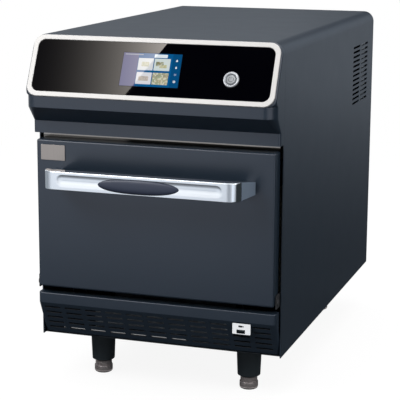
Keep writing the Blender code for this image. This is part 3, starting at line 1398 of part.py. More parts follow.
def blower_wheel():
    """A radial wheel: a back disc, a hub with its shaft and straight blades between disc and front ring."""
    back = BLOWER_FRONT + BLOWER_WIDTH
    motor_front = WOOL_BACK + SEAT_GAP
    disc = turned([(0, 0), (BLOWER_RADIUS, 0), (BLOWER_RADIUS, -BLADE_THICKNESS), (BLOWER_HUB, -BLADE_THICKNESS),
                   (SHAFT_RADIUS, -BLADE_THICKNESS * 2),
                   (SHAFT_RADIUS, back - motor_front - MOTOR_LENGTH / 2),
                   (0, back - motor_front - MOTOR_LENGTH / 2)])
    disc.location = at(0, back, BLOWER_HEIGHT)
    disc.rotation_euler = (math.pi / 2, 0, 0)
    blades = []
    inner = BLOWER_RADIUS * 0.62
    for i in range(BLOWER_BLADES):
        bm = bmesh.new()
        bmesh.ops.create_cube(bm, size=1.0)
        bmesh.ops.scale(bm, vec=(BLOWER_RADIUS - inner - BLADE_THICKNESS, BLADE_THICKNESS, BLOWER_WIDTH),
                        verts=bm.verts)
        turn = Matrix.Rotation(math.radians(35), 4, "Z")
        place = Matrix.Translation(((BLOWER_RADIUS + inner) / 2, 0, BLOWER_WIDTH / 2 - BLADE_THICKNESS / 2))
        bmesh.ops.transform(bm, matrix=Matrix.Rotation(math.tau * i / BLOWER_BLADES, 4, "Z") @ place @ turn,
                            verts=bm.verts)
        blades.append(from_bmesh(bm))
    fan = group(blades)
    fan.location = disc.location
    fan.rotation_euler = disc.rotation_euler
    hub = turned_cylinder(BLOWER_HUB, -BLADE_THICKNESS / 2, BLOWER_WIDTH / 3, 12)
    hub.location = disc.location
    hub.rotation_euler = disc.rotation_euler
    return keep(add(disc, fan, hub), "blower_wheel", STAINLESS)


def blower_motor():
    front = WOOL_BACK + SEAT_GAP
    bore = SHAFT_RADIUS + SEAT_GAP
    body = turned([
        (bore, 0), (MOTOR_RADIUS, 0), (MOTOR_RADIUS, -MOTOR_LENGTH), (bore * 2, -MOTOR_LENGTH),
        (bore * 2, -MOTOR_LENGTH * 0.96), (bore, -MOTOR_LENGTH * 0.9)], 20)
    body.location = at(0, front, BLOWER_HEIGHT)
    body.rotation_euler = (math.pi / 2, 0, 0)
    mount = plate([rounded(MOTOR_PLATE, MOTOR_PLATE, MOTOR_PLATE / 8, 3), circle(MOTOR_RADIUS * 0.9, 20)], HINGE_PLATE)
    upright(mount, 0, front + HINGE_PLATE / 2, BLOWER_HEIGHT)
    return keep(add(body, mount), "blower_motor", IRON)


def tubular_heater():
    """One open ring round the blower, its two ends turned back through the rear wall."""
    start = HEATER_OPENING
    count = 22
    y = BLOWER_FRONT + BLOWER_WIDTH / 2
    tail = WOOL_BACK + HEATER_TAIL
    ring = []
    for i in range(count + 1):
        angle = start + (math.tau - 2 * start) * i / count
        ring.append((HEATER_RADIUS * math.sin(angle), y, BLOWER_HEIGHT - HEATER_RADIUS * math.cos(angle)))
    points = [(HEATER_TAIL_X, tail, HEATER_TAIL_Z)] + ring + [(-HEATER_TAIL_X, tail, HEATER_TAIL_Z)]
    return keep(wire(points, HEATER_WIRE, 2), "tubular_heater", IRON)


# Microwave

def wave_box():
    """The well under the ceramic floor where the stirrer turns."""
    top = CAVITY_BOTTOM - CAVITY_SHEET - SEAT_GAP
    half = WAVE_HALF
    obj = box((-half, WAVE_MIDDLE - half, WAVE_BOTTOM), (half, WAVE_MIDDLE + half, top))
    inner = half - WAVE_SHEET
    hollow = box((-inner, WAVE_MIDDLE - inner, WAVE_BOTTOM + WAVE_SHEET), (inner, WAVE_MIDDLE + inner, top + OVERRUN))
    window = box((-GUIDE_HALF + WAVE_SHEET, WAVE_MIDDLE + inner - OVERRUN, WAVE_BOTTOM + WAVE_SHEET * 2),
                 (GUIDE_HALF - WAVE_SHEET, WAVE_MIDDLE + half + OVERRUN, GUIDE_TOP - WAVE_SHEET))
    bore = rod(STIRRER_SHAFT + SEAT_GAP, (0, WAVE_MIDDLE, WAVE_BOTTOM - OVERRUN),
               (0, WAVE_MIDDLE, WAVE_BOTTOM + OVERRUN))
    return keep(cut(obj, hollow, window, bore), "wave_box", STAINLESS)


def waveguide():
    front = WAVE_MIDDLE + WAVE_HALF + SEAT_GAP
    obj = box((-GUIDE_HALF, front, WAVE_BOTTOM), (GUIDE_HALF, GUIDE_BACK, GUIDE_TOP))
    hollow = box((-GUIDE_HALF + WAVE_SHEET, front - OVERRUN, WAVE_BOTTOM + WAVE_SHEET),
                 (GUIDE_HALF - WAVE_SHEET, GUIDE_BACK - WAVE_SHEET, GUIDE_TOP - WAVE_SHEET))
    y = magnetron_y()
    hole = rod(ANTENNA_RADIUS + SEAT_GAP, (0, y, GUIDE_TOP - OVERRUN), (0, y, GUIDE_TOP + OVERRUN))
    return keep(cut(obj, hollow, hole), "waveguide", STAINLESS)


def magnetron_y():
    return GUIDE_BACK - MAGNETRON_DEPTH / 2 - WAVE_SHEET


def magnetron():
    """The magnetron on the waveguide: a yoke with cooling fins and its antenna below."""
    y = magnetron_y()
    low = GUIDE_TOP + SEAT_GAP
    high = low + MAGNETRON_TALL
    half = MAGNETRON_WIDTH / 2
    deep = MAGNETRON_DEPTH / 2
    obj = box((-half, y - deep, low), (half, y + deep, high))
    gaps = []
    pitch = (MAGNETRON_TALL - MAGNETRON_PLATE) / MAGNETRON_FINS
    for i in range(MAGNETRON_FINS):
        z = low + MAGNETRON_PLATE + pitch * i
        for side in (-1, 1):
            xs = sorted((side * MAGNETRON_BODY, side * (half - MAGNETRON_PLATE)))
            gaps.append(box((xs[0], y - deep - OVERRUN, z), (xs[1], y + deep + OVERRUN, z + pitch - MAGNETRON_PLATE)))
    antenna = rod(ANTENNA_RADIUS, (0, y, low - ANTENNA_TALL), (0, y, low + OVERRUN))
    return keep(cut(add(obj, antenna), group(gaps)), "magnetron", GALVANISED)


def stirrer_motor():
    top = WAVE_BOTTOM - SEAT_GAP
    bore = STIRRER_SHAFT + SEAT_GAP
    obj = turned([
        (bore, top), (STIRRER_MOTOR_RADIUS, top), (STIRRER_MOTOR_RADIUS, top - STIRRER_MOTOR_TALL),
        (bore, top - STIRRER_MOTOR_TALL)], 20)
    obj.location = at(0, WAVE_MIDDLE, 0)
    return keep(obj, "stirrer_motor", GALVANISED)


def stirrer_blade():
    """Three bent paddles on a hub whose shaft runs down into the stirrer motor."""
    shaft_foot = WAVE_BOTTOM - STIRRER_MOTOR_TALL / 2
    hub_top = STIRRER_HEIGHT + STIRRER_HUB
    obj = turned([
        (0, hub_top), (STIRRER_HUB, hub_top), (STIRRER_HUB, STIRRER_HEIGHT - STIRRER_HUB / 2),
        (STIRRER_SHAFT, STIRRER_HEIGHT - STIRRER_HUB / 2), (STIRRER_SHAFT, shaft_foot), (0, shaft_foot)], 12)
    obj.location = at(0, WAVE_MIDDLE, 0)
    paddles = []
    for i in range(3):
        bm = bmesh.new()
        bmesh.ops.create_cube(bm, size=1.0)
        reach = STIRRER_RADIUS - STIRRER_HUB / 2
        bmesh.ops.scale(bm, vec=(reach, STIRRER_HUB * 3, STIRRER_SHEET), verts=bm.verts)
        tip = [v for v in bm.verts if v.co.x > 0]
        bmesh.ops.scale(bm, vec=(1, 1.5, 1), verts=tip)
        place = Matrix.Translation((reach / 2 + STIRRER_HUB / 2, 0, STIRRER_HEIGHT))
        tilt = Matrix.Rotation(math.radians(18), 4, "X")
        bmesh.ops.transform(bm, matrix=Matrix.Rotation(math.tau * i / 3, 4, "Z") @ place @ tilt, verts=bm.verts)
        paddles.append(from_bmesh(bm))
    fan = group(paddles)
    fan.location = obj.location
    return keep(add(obj, fan), "stirrer_blade", STAINLESS)


# Electrics and cooling

def hv_transformer():
    floor = PAN_FLOOR + SEAT_GAP
    x, y = -TRANSFORMER_SIDE, TRANSFORMER_Y
    core = box((x - CORE_WIDTH / 2, y - CORE_DEPTH / 2, floor), (x + CORE_WIDTH / 2, y + CORE_DEPTH / 2, floor + CORE_TALL))
    middle = floor + CORE_TALL / 2
    coil = box((x - COIL_WIDTH / 2, y - COIL_DEPTH / 2, middle - COIL_TALL / 2),
               (x + COIL_WIDTH / 2, y + COIL_DEPTH / 2, middle + COIL_TALL / 2))
    bevel(coil, COIL_TALL / 6, 2)
    return keep(add(core, coil), "hv_transformer", COPPER)


def hv_capacitor():
    floor = PAN_FLOOR + SEAT_GAP
    obj = plate([rounded(CAPACITOR_WIDTH, CAPACITOR_LENGTH, CAPACITOR_WIDTH * 0.49, 5)], CAPACITOR_TALL)
    obj.location = at(-TRANSFORMER_SIDE, CAPACITOR_Y, floor + CAPACITOR_TALL / 2)
    return keep(obj, "hv_capacitor", GALVANISED)


def fan_place(obj):
    back = CASE_DEPTH - REAR_SET_IN - SHEET - SEAT_GAP
    return upright(obj, -FAN_SIDE, back - FAN_DEPTH / 2, FAN_HEIGHT)


def fan_frame():
    """A square axial fan frame with a motor cup on four struts."""
    rim = rounded(FAN_SIZE, FAN_SIZE, FAN_STRUT, 2)
    obj = fan_place(plate([rim, circle(FAN_BORE, 32)], FAN_DEPTH))
    strut_z = FAN_DEPTH / 2 - FAN_STRUT / 2
    for angle in (45, 135):
        bar = local_box((2 * FAN_BORE + FAN_STRUT, FAN_STRUT, FAN_STRUT))
        bar.data.transform(Matrix.Rotation(math.radians(angle), 4, "Z") @ Matrix.Translation((0, 0, -strut_z)))
        add(obj, fan_place(bar))
    cup = turned_cylinder(FAN_HUB, -FAN_DEPTH / 2, -FAN_DEPTH / 2 + FAN_STRUT, 20)
    pin = turned_cylinder(SHAFT_RADIUS / 2, -FAN_DEPTH / 2 + RUN_GAP, FAN_DEPTH / 3, 10)
    return keep(add(obj, fan_place(cup), fan_place(pin)), "fan_frame", PLASTIC)


def fan_rotor():
    bore = SHAFT_RADIUS / 2 + SEAT_GAP
    low = -FAN_DEPTH / 2 + FAN_STRUT + SEAT_GAP
    high = FAN_DEPTH / 2 - RUN_GAP
    hub = turned([(0, high), (FAN_HUB, high), (FAN_HUB, low), (bore, low), (bore, FAN_DEPTH / 3 + RUN_GAP),
                  (0, FAN_DEPTH / 3 + RUN_GAP)], 20)
    blades = []
    reach = FAN_BORE - FAN_HUB
    for i in range(FAN_BLADES):
        bm = bmesh.new()
        bmesh.ops.create_cube(bm, size=1.0)
        bmesh.ops.scale(bm, vec=(reach, FAN_DEPTH * 0.8, BLADE_THICKNESS), verts=bm.verts)
        turn = Matrix.Rotation(math.radians(38), 4, "X")
        place = Matrix.Translation((FAN_HUB + reach / 2 - BLADE_THICKNESS, 0, (low + high) / 2))
        bmesh.ops.transform(bm, matrix=Matrix.Rotation(math.tau * i / FAN_BLADES, 4, "Z") @ place @ turn,
                            verts=bm.verts)
        blades.append(from_bmesh(bm))
    fan_place(hub)
    return keep(add(hub, fan_place(group(blades))), "fan_rotor", PLASTIC)


def line_filter():
    back = CASE_DEPTH - REAR_SET_IN - SHEET - SEAT_GAP
    width, depth, tall = FILTER_BOX
    obj = box((LINE_FILTER_X - width / 2, back - depth, GLAND_HEIGHT - tall / 2),
              (LINE_FILTER_X + width / 2, back, GLAND_HEIGHT + tall / 2))
    return keep(bevel(obj, SHEET, 1), "line_filter", GALVANISED)


def power_board():
    """A relay board on four standoffs above the pan."""
    floor = PAN_FLOOR + SEAT_GAP
    width, depth = POWER_BOARD
    x, y = POWER_BOARD_X, POWER_BOARD_Y
    low = floor + STANDOFF
    obj = box((x - width / 2, y - depth / 2, low), (x + width / 2, y + depth / 2, low + BOARD_THICKNESS))
    for sx in (-1, 1):
        for sy in (-1, 1):
            post = (x + sx * width * 0.43, y + sy * depth * 0.43)
            add(obj, rod(STANDOFF / 3, (*post, floor), (*post, low + BOARD_THICKNESS / 2), 8))
    for i in range(3):
        relay_y = y + (i - 1) * depth / 4
        add(obj, box((x, relay_y - depth / 12, low + BOARD_THICKNESS / 2), (x + width / 4, relay_y + depth / 12, low + STANDOFF * 2)))
    return keep(obj, "power_board", CIRCUIT)


def smooth_round():
    """Shades every part smooth with its hard edges kept sharp."""
    for obj in parts.objects:
        obj.data.shade_smooth()
        obj.data.set_sharp_from_angle(angle=math.radians(30))


for old in list(bpy.data.objects):
    bpy.data.objects.remove(old)
bpy.context.scene.collection.children.link(parts)
bpy.context.scene.collection.children.link(cutters)
face_frame = make_face_frame()

outer_casing()
base_pan()
rear_panel()
cable_gland()
legs()
mirrored(cavity_support, "cavity_support", GALVANISED)
control_hood()
bezel_frame()
glass_panel()
display_module()
control_board()
power_button()
door_skin()
door_liner()
door_gasket()
mirrored(hinge_block, "hinge_block", STAINLESS)
mirrored(hinge_bracket, "hinge_bracket", STAINLESS)
mirrored(latch_housing, "latch_housing", PLASTIC)
badge_plate()
door_handle()
handle_grip()
lower_grille()
data_port()
air_filter()
front_frame()
cavity_liner()
cavity_insulation()
jet_plate()
return_grille()
ceramic_floor()
mirrored(rack_rail, "rack_rail", STAINLESS)
wire_rack()
blower_wheel()
blower_motor()
tubular_heater()
wave_box()
waveguide()
magnetron()
stirrer_motor()
stirrer_blade()
hv_transformer()
hv_capacitor()
fan_frame()
fan_rotor()
line_filter()
power_board()
smooth_round()
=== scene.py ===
"""Speed oven: fine shapes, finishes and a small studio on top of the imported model."""
import json
import math

import bmesh
import bpy
from mathutils import Matrix, Vector

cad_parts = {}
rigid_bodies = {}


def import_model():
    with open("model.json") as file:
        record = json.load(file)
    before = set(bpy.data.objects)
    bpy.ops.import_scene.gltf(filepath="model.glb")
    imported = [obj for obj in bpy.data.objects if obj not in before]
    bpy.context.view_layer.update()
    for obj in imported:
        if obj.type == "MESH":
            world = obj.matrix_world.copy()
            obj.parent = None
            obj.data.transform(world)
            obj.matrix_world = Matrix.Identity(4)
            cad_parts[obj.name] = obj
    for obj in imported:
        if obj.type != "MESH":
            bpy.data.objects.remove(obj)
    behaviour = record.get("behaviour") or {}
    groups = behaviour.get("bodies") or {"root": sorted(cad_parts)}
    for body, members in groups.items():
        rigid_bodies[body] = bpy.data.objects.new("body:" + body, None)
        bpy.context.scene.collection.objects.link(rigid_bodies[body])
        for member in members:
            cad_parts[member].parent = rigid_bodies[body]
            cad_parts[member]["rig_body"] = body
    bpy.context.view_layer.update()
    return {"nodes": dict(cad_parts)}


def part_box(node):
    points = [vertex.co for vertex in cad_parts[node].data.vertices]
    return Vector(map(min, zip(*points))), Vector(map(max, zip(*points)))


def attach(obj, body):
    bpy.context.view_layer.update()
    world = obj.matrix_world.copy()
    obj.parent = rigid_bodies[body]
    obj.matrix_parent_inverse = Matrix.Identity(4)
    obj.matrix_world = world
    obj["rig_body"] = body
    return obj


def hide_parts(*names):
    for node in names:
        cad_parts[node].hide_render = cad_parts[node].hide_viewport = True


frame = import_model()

bl_info = {
    "name": "Speed Oven",
    "version": (1, 0, 0),
    "blender": (4, 5, 0),
    "location": "3D View > Sidebar > Speed Oven",
    "description": "Fine shapes, finishes and a studio for a countertop speed oven",
    "category": "Object",
}

CASING_LOW, CASING_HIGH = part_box("outer_casing")
CASING_SIZE = CASING_HIGH - CASING_LOW
SLOPE = math.radians(26.0)  # from upright, of the control face and of the lower panel
SEAT = 0.0003  # gap between pieces that lie on each other
WELD = 1e-6  # points nearer than this are one


def metres(name, text, value):
    """A length that the user can change."""
    return bpy.props.FloatProperty(
        name=name, description=text, default=value, min=0.0, precision=4, unit="LENGTH")


def tint(name, text, value):
    """A colour that the user can change, in linear values."""
    return bpy.props.FloatVectorProperty(
        name=name, description=text, default=value, size=3, min=0.0, max=1.0, subtype="COLOR")


def count(name, text, value):
    """A number of like things."""
    return bpy.props.IntProperty(name=name, description=text, default=value, min=1)


class OvenSizes(bpy.types.PropertyGroup):
    """Sizes of the fine shapes."""
    case_width: metres("Casing width", "Across the painted casing", CASING_SIZE.x)
    case_depth: metres("Casing depth", "From the casing's front edge to its back edge", CASING_SIZE.y)
    case_height: metres("Casing height", "From the casing's lower edge to its top", CASING_SIZE.z)
    case_corner: metres("Casing corner", "Radius of the casing's bent top corners", 0.019)
    sheet: metres("Sheet", "Thickness of the painted sheet", 0.0015)
    vent_length: metres("Vent length", "Length of one side vent", 0.0557)
    vent_tall: metres("Vent height", "Height of one side vent", 0.0040)
    vent_start: metres("Vent start", "From the casing's front edge to the first vents", 0.4718)
    vent_low: metres("Vent low", "Height of the lowest vents over the casing's lower edge", 0.3362)
    vent_pitch_y: metres("Vent column pitch", "From one column of vents to the next", 0.0665)
    vent_pitch_z: metres("Vent row pitch", "From one row of vents to the next", 0.00844)
    vent_columns: count("Vent columns", "Columns of vents on each side", 2)
    vent_rows: count("Vent rows", "Rows of vents on each side", 13)
    hood_top_reach: metres("Hood top reach", "How far the hood's top edge stands before the casing", 0.0088)
    hood_reach: metres("Hood reach", "How far the hood's band stands before the casing", 0.0538)
    hood_lip_reach: metres("Hood lip reach", "How far the hood's lip stands before the casing", 0.0209)
    hood_band_bottom: metres("Hood band bottom", "Height of the band's lower edge", 0.3820)
    hood_lip_top: metres("Hood lip top", "Height of the lip's upper edge", 0.3572)
    hood_bottom: metres("Hood bottom", "Height of the lip's lower edge", 0.3375)
    hood_corner: metres("Hood corner", "Plan radius of the band's corners", 0.0187)
    hood_lip_corner: metres("Lip corner", "Plan radius of the lip's corners", 0.0039)
    hood_fold: metres("Hood fold", "Radius of the hood's folds", 0.0016)
    hood_top_fold: metres("Hood top fold", "Radius of the fold along the hood's top edge", 0.0012)
    hood_wall: metres("Hood wall", "Thickness of the hood", 0.0020)
    bezel_length: metres("Frame length", "Length of the bright frame", 0.3988)
    bezel_height: metres("Frame height", "Height of the bright frame along the slope", 0.1006)
    bezel_band: metres("Frame band", "Width of the bright frame's band", 0.0076)
    bezel_corner: metres("Frame corner", "Outer corner radius of the bright frame", 0.0170)
    bezel_inner_corner: metres("Frame inner corner", "Inner corner radius of the bright frame", 0.0120)
    bezel_edge: metres("Frame edge", "Radius of the bright frame's long edges", 0.0007)
    bezel_proud: metres("Frame proud", "How far the bright frame stands over the hood", 0.0025)
    bezel_below_edge: metres("Frame below edge", "From the hood's top edge to the frame", 0.0016)
    glass: metres("Glass", "Thickness of the glass", 0.0015)
    display_width: metres("Screen width", "Width of the lit screen", 0.0952)
    display_height: metres("Screen height", "Height of the lit screen", 0.0542)
    display_drop: metres("Screen drop", "How far the screen's middle lies under the frame's middle", 0.0007)
    button_x: metres("Button place", "From the middle of the face to the button", 0.1293)
    button_drop: metres("Button drop", "How far the button lies under the frame's middle", 0.0105)
    button_head: metres("Button ring", "Outer radius of the button's ring", 0.0123)
    button_cap: metres("Button cap", "Radius of the button's cap", 0.0078)
    button_bore: metres("Button bore", "Radius of the bore for the button in the hood", 0.0101)
    button_proud: metres("Button proud", "How far the button's ring stands over the glass", 0.0026)
    door_bottom: metres("Door bottom", "Height of the door's lower edge", 0.0875)
    door_top: metres("Door top", "Height of the door's upper edge", 0.3275)
    door_half: metres("Door half width", "Half the door's width", 0.1961)
    door_reach: metres("Door reach", "How far the door's face stands before the casing", 0.02515)
    door_edge: metres("Door edge", "Radius of the door's folded edges", 0.0032)
    door_pin: metres("Door pin bore", "Radius of the bores for the hinge pins", 0.0043)
    handle_reach: metres("Handle reach", "How far the handle's face stands before the casing", 0.0910)
    handle_bottom: metres("Handle bottom", "Height of the handle's lower face", 0.2616)
    handle_tall: metres("Handle height", "Height of the handle's bar", 0.0292)
    handle_half: metres("Handle half width", "Half the handle's width at the bar", 0.1580)
    handle_foot_half: metres("Handle foot", "Half the handle's width at the door", 0.1653)
    handle_corner: metres("Handle corner", "Outer radius where bar and leg meet", 0.0180)
    handle_bar: metres("Handle bar", "Depth of the bar", 0.0175)
    handle_leg: metres("Handle leg", "Width of a leg", 0.0150)
    handle_edge: metres("Handle edge", "Radius of the handle's long edges", 0.0014)
    handle_foot_drop: metres("Leg fall", "How far a leg's top falls towards the door", 0.0075)
    channel_half: metres("Channel half length", "Half the length of the recess in the bar", 0.1330)
    channel_tall: metres("Channel height", "Height of the recess in the bar", 0.0190)
    channel_depth: metres("Channel depth", "Depth of the recess in the bar", 0.0016)
    channel_rise: metres("Channel rise", "How far the recess lies over the bar's middle", 0.0005)
    grip_half: metres("Grip half length", "Half the length of the inset grip", 0.0645)
    grip_tall: metres("Grip height", "Height of the inset grip", 0.0216)
    grip_crown: metres("Grip crown", "How far the grip's middle stands out", 0.0022)
    grip_drop: metres("Grip drop", "How far the grip's middle lies under the bar's", 0.0012)
    grip_gap: metres("Grip gap", "Gap round the grip", 0.0006)
    grip_pocket: metres("Grip pocket", "Depth of the pocket for the grip", 0.0052)
    panel_half: metres("Vent panel half width", "Half the width of the lower panel", 0.1993)
    panel_reach: metres("Vent panel reach", "How far the panel's band stands before the casing", 0.0220)
    panel_top: metres("Vent panel top", "Height of the panel's top", 0.0760)
    panel_band_bottom: metres("Vent panel fold", "Height of the fold under the band", 0.0590)
    panel_low: metres("Vent panel low", "Height of the panel's lower edge", 0.0038)
    panel_corner: metres("Vent panel corner", "Plan radius of the panel's corners", 0.0060)
    panel_flange: metres("Vent panel flange", "How far back the panel's lower edge runs", 0.0125)
    panel_cheek_drop: metres("Cheek drop", "From the fold to where the cheek starts to reach back", 0.0140)
    panel_cheek_gap: metres("Cheek gap", "How far before the casing the cheek's upper part ends", 0.0040)
    panel_sheet: metres("Vent panel sheet", "Thickness of the panel", 0.0012)
    slot_length: metres("Slot length", "Length of one slot in the lower panel", 0.0276)
    slot_tall: metres("Slot height", "Height of one slot in the lower panel", 0.0032)
    slot_pitch_x: metres("Slot column pitch", "From one column of slots to the next", 0.0352)
    slot_first: metres("First slot", "From the fold to the first row of slots", 0.0084)
    slot_last: metres("Last slot", "From the last row of slots to the panel's lower edge", 0.0102)
    slot_columns: count("Slot columns", "Columns of slots in the lower panel", 11)
    slot_rows: count("Slot rows", "Rows of slots in the lower panel", 5)
    port_column: count("Port column", "Column whose upper slots the data port takes", 10)
    screw_radius: metres("Screw head", "Radius of a screw's head", 0.0036)
    screw_tall: metres("Screw height", "Height of a screw's head", 0.0014)


class OvenColours(bpy.types.PropertyGroup):
    """Colours of the finishes."""
    paint: tint("Paint", "Powder coat of the casing, hood and door", (0.0158, 0.0272, 0.0430))
    trim: tint("Bright frame", "Anodised frame round the glass", (0.71, 0.697, 0.682))
    chrome: tint("Handle", "Chromed casting", (0.87, 0.92, 0.98))
    grip: tint("Grip", "Soft grip in the handle", (0.037, 0.048, 0.084))
    steel: tint("Steel", "Stainless steel", (0.56, 0.55, 0.54))
    zinc: tint("Zinc", "Galvanised sheet", (0.50, 0.52, 0.54))
    screen: tint("Screen", "Ground colour of the screen", (0.002, 0.101, 0.285))
    floor: tint("Floor", "Studio floor", (0.15, 0.15, 0.15))


# Numbers, places and outlines

def between(first, last, share):
    """The value a share of the way from the first to the last."""
    return first + (last - first) * share


def part_way(value, start, end):
    """How far a value has come from start to end, held between 0 and 1."""
    return min(max((value - start) / (end - start), 0.0), 1.0)


def at(x, y, z):
    """A place before the casing's front edge (y below 0) or behind it, over the casing's lower edge."""
    return Vector((x, y + CASING_LOW.y, z + CASING_LOW.z))


def turned(place, degrees, axis="X"):
    """The matrix of a place, turned about one axis."""
    return Matrix.Translation(place) @ Matrix.Rotation(math.radians(degrees), 4, axis)


def face_matrix(size, x=0.0, y=0.0):
    """A place on the sloping face, from its middle, with the Z axis pointing out of it."""
    run = size.bezel_below_edge + size.bezel_height / 2
    middle = at(0, -size.hood_top_reach - run * math.sin(SLOPE), size.case_height - run * math.cos(SLOPE))
    upright = Matrix.Rotation(math.pi / 2 - SLOPE, 4, "X")
    return Matrix.Translation(middle) @ upright @ Matrix.Translation((x, y, 0))


def arc(x, y, radius, start, end, steps, first=0):
    """Points on an arc round (x, y) between two angles in degrees, from the first step on."""
    angles = [math.radians(between(start, end, i / steps)) for i in range(first, steps + 1)]
    return [(x + radius * math.cos(angle), y + radius * math.sin(angle)) for angle in angles]


def ring_of(radius, steps, centre=(0.0, 0.0)):
    """Points round a circle, anticlockwise."""
    return arc(*centre, radius, 0, 360, steps)[:-1]


def arc_band(inner, outer, start, end, steps, centre=(0.0, 0.0)):
    """A bent band between two radii, from a start to an end angle in degrees."""
    return arc(*centre, outer, start, end, steps) + arc(*centre, inner, start, end, steps)[::-1]


def rect(x0, x1, y0, y1):
    """The corners of a rectangle, in order round it."""
    return [(x0, y0), (x1, y0), (x1, y1), (x0, y1)]


def rounded(width, height, radius, steps, centre=(0.0, 0.0)):
    """Points round a rectangle with round corners, anticlockwise."""
    points = []
    for start, side_x, side_y in ((0, 1, 1), (90, -1, 1), (180, -1, -1), (270, 1, -1)):
        x = centre[0] + side_x * (width / 2 - radius)
        y = centre[1] + side_y * (height / 2 - radius)
        points += arc(x, y, radius, start, start + 90, steps)
    return points


def with_mirror(points):
    """Points, then their mirror images in reverse."""
    return points + [(-x, y) for x, y in reversed(points)]


def fillet(points, radii, steps=6):
    """A chain of 2D points with each inner corner rounded by its radius."""
    made = [Vector(points[0])]
    for before, here, after, radius in zip(points, points[1:], points[2:], radii):
        before, here, after = Vector(before), Vector(here), Vector(after)
        u = (before - here).normalized()
        v = (after - here).normalized()
        half = u.angle(v) / 2
        reach = min(radius / math.tan(half), (before - here).length * 0.49, (after - here).length * 0.49)
        radius = reach * math.tan(half)
        centre = here + (u + v).normalized() * (radius / math.sin(half))
        a = here + u * reach - centre
        b = here + v * reach - centre
        turn = a.angle_signed(b)
        made += [centre + Matrix.Rotation(-turn * i / steps, 2) @ a for i in range(steps + 1)]
    made.append(Vector(points[-1]))
    return [tuple(point) for point in made]


def add_levels(levels, heights):
    """Adds points at more heights to a falling chain of (height, reach)."""
    for z in heights:
        for n, ((z0, reach0), (z1, reach1)) in enumerate(zip(levels, levels[1:])):
            if z0 - 1e-5 > z > z1 + 1e-5:
                levels.insert(n + 1, (z, reach0 + (reach1 - reach0) * (z0 - z) / (z0 - z1)))
                break
    return levels


# Meshes

def linked(name, data):
    """A new object in the scene."""
    obj = bpy.data.objects.new(name, data)
    bpy.context.scene.collection.objects.link(obj)
    return obj


def object_of(bm, name="piece"):
    """A linked object from a bmesh, which it uses up."""
    mesh = bpy.data.meshes.new(name)
    bm.to_mesh(mesh)
    bm.free()
    return linked(name, mesh)


def from_bmesh(bm, weld=WELD):
    """A linked object from a bmesh, its doubles merged and its faces turned outwards."""
    if weld:
        bmesh.ops.remove_doubles(bm, verts=bm.verts, dist=weld)
    bmesh.ops.recalc_face_normals(bm, faces=bm.faces)
    return object_of(bm)


def welded(mesh, degrees):
    """A bmesh of a mesh without doubles, its faces merged where they turn by less than the angle."""
    bm = bmesh.new()
    bm.from_mesh(mesh)
    bmesh.ops.remove_doubles(bm, verts=bm.verts, dist=WELD)
    bmesh.ops.dissolve_limit(bm, angle_limit=math.radians(degrees), verts=bm.verts, edges=bm.edges)
    return bm


def finished_mesh(obj):
    """A mesh of the object with its modifiers in it."""
    bpy.context.view_layer.update()
    graph = bpy.context.evaluated_depsgraph_get()
    return bpy.data.meshes.new_from_object(obj.evaluated_get(graph))


def settle(obj, matrix=None):
    """Makes the object's modifiers, and its place or the given one, part of its mesh."""
    if matrix is not None:
        obj.matrix_world = matrix
    mesh = finished_mesh(obj)
    mesh.transform(obj.matrix_world)
    obj.modifiers.clear()
    obj.data = mesh
    obj.matrix_world = Matrix.Identity(4)
    return obj


def bevel(obj, width, segments):
    """Rounds the object's sharp edges."""
    step = obj.modifiers.new("edge", "BEVEL")
    step.width = width
    step.segments = segments
    step.limit_method = "ANGLE"


def thicken(obj, thickness, offset=-1.0, even=True):
    """Gives a surface a thickness, inwards where nothing else is said."""
    step = obj.modifiers.new("wall", "SOLIDIFY")
    step.thickness = thickness
    step.offset = offset
    step.use_even_offset = even
    return settle(obj)


def cut(obj, *tools):
    """Takes closed tools away from a closed object, and removes the tools."""
    for tool in tools:
        step = obj.modifiers.new("cut", "BOOLEAN")
        step.operation = "DIFFERENCE"
        step.solver = "EXACT"
        step.object = tool
    settle(obj)
    for tool in tools:
        bpy.data.objects.remove(tool)


def plate(outlines, thickness, matrix, edge=0.0):
    """A flat plate from a rim and its holes, centred on the matrix's XY plane, its edges rounded."""
    curve = bpy.data.curves.new("plate", "CURVE")
    curve.dimensions = "2D"
    curve.fill_mode = "BOTH"
    curve.extrude = thickness / 2
    for outline in outlines:
        spline = curve.splines.new("POLY")
        spline.points.add(len(outline) - 1)
        for point, (x, y) in zip(spline.points, outline):
            point.co = (x, y, 0, 1)
        spline.use_cyclic_u = True
    source = linked("plate", curve)
    flat = finished_mesh(source)
    bpy.data.objects.remove(source)
    obj = from_bmesh(welded(flat, 0.5))
    if edge:
        bevel(obj, edge, 3)
    return settle(obj, matrix)


def lathe(profile, steps, matrix):
    """A profile of (radius, height) points turned round the matrix's Z axis; a closed one makes a ring."""
    bm = bmesh.new()
    rows = []
    for radius, height in profile:
        if radius < 1e-7:
            rows.append([bm.verts.new((0, 0, height))] * steps)
        else:
            rows.append([bm.verts.new((x, y, height)) for x, y in ring_of(radius, steps)])
    pairs = list(zip(rows, rows[1:]))
    if profile[0][0] > 1e-7:
        pairs.append((rows[-1], rows[0]))
    for a, b in pairs:
        for i in range(steps):
            j = (i + 1) % steps
            corners = list(dict.fromkeys((a[i], a[j], b[j], b[i])))
            if len(corners) > 2:
                bm.faces.new(corners)
    return settle(from_bmesh(bm), matrix)


def rod(radius, reach, steps, matrix):
    """A round bar along the matrix's Z axis that reaches as far to both sides."""
    return lathe([(0, -reach), (radius, -reach), (radius, reach), (0, reach)], steps, matrix)


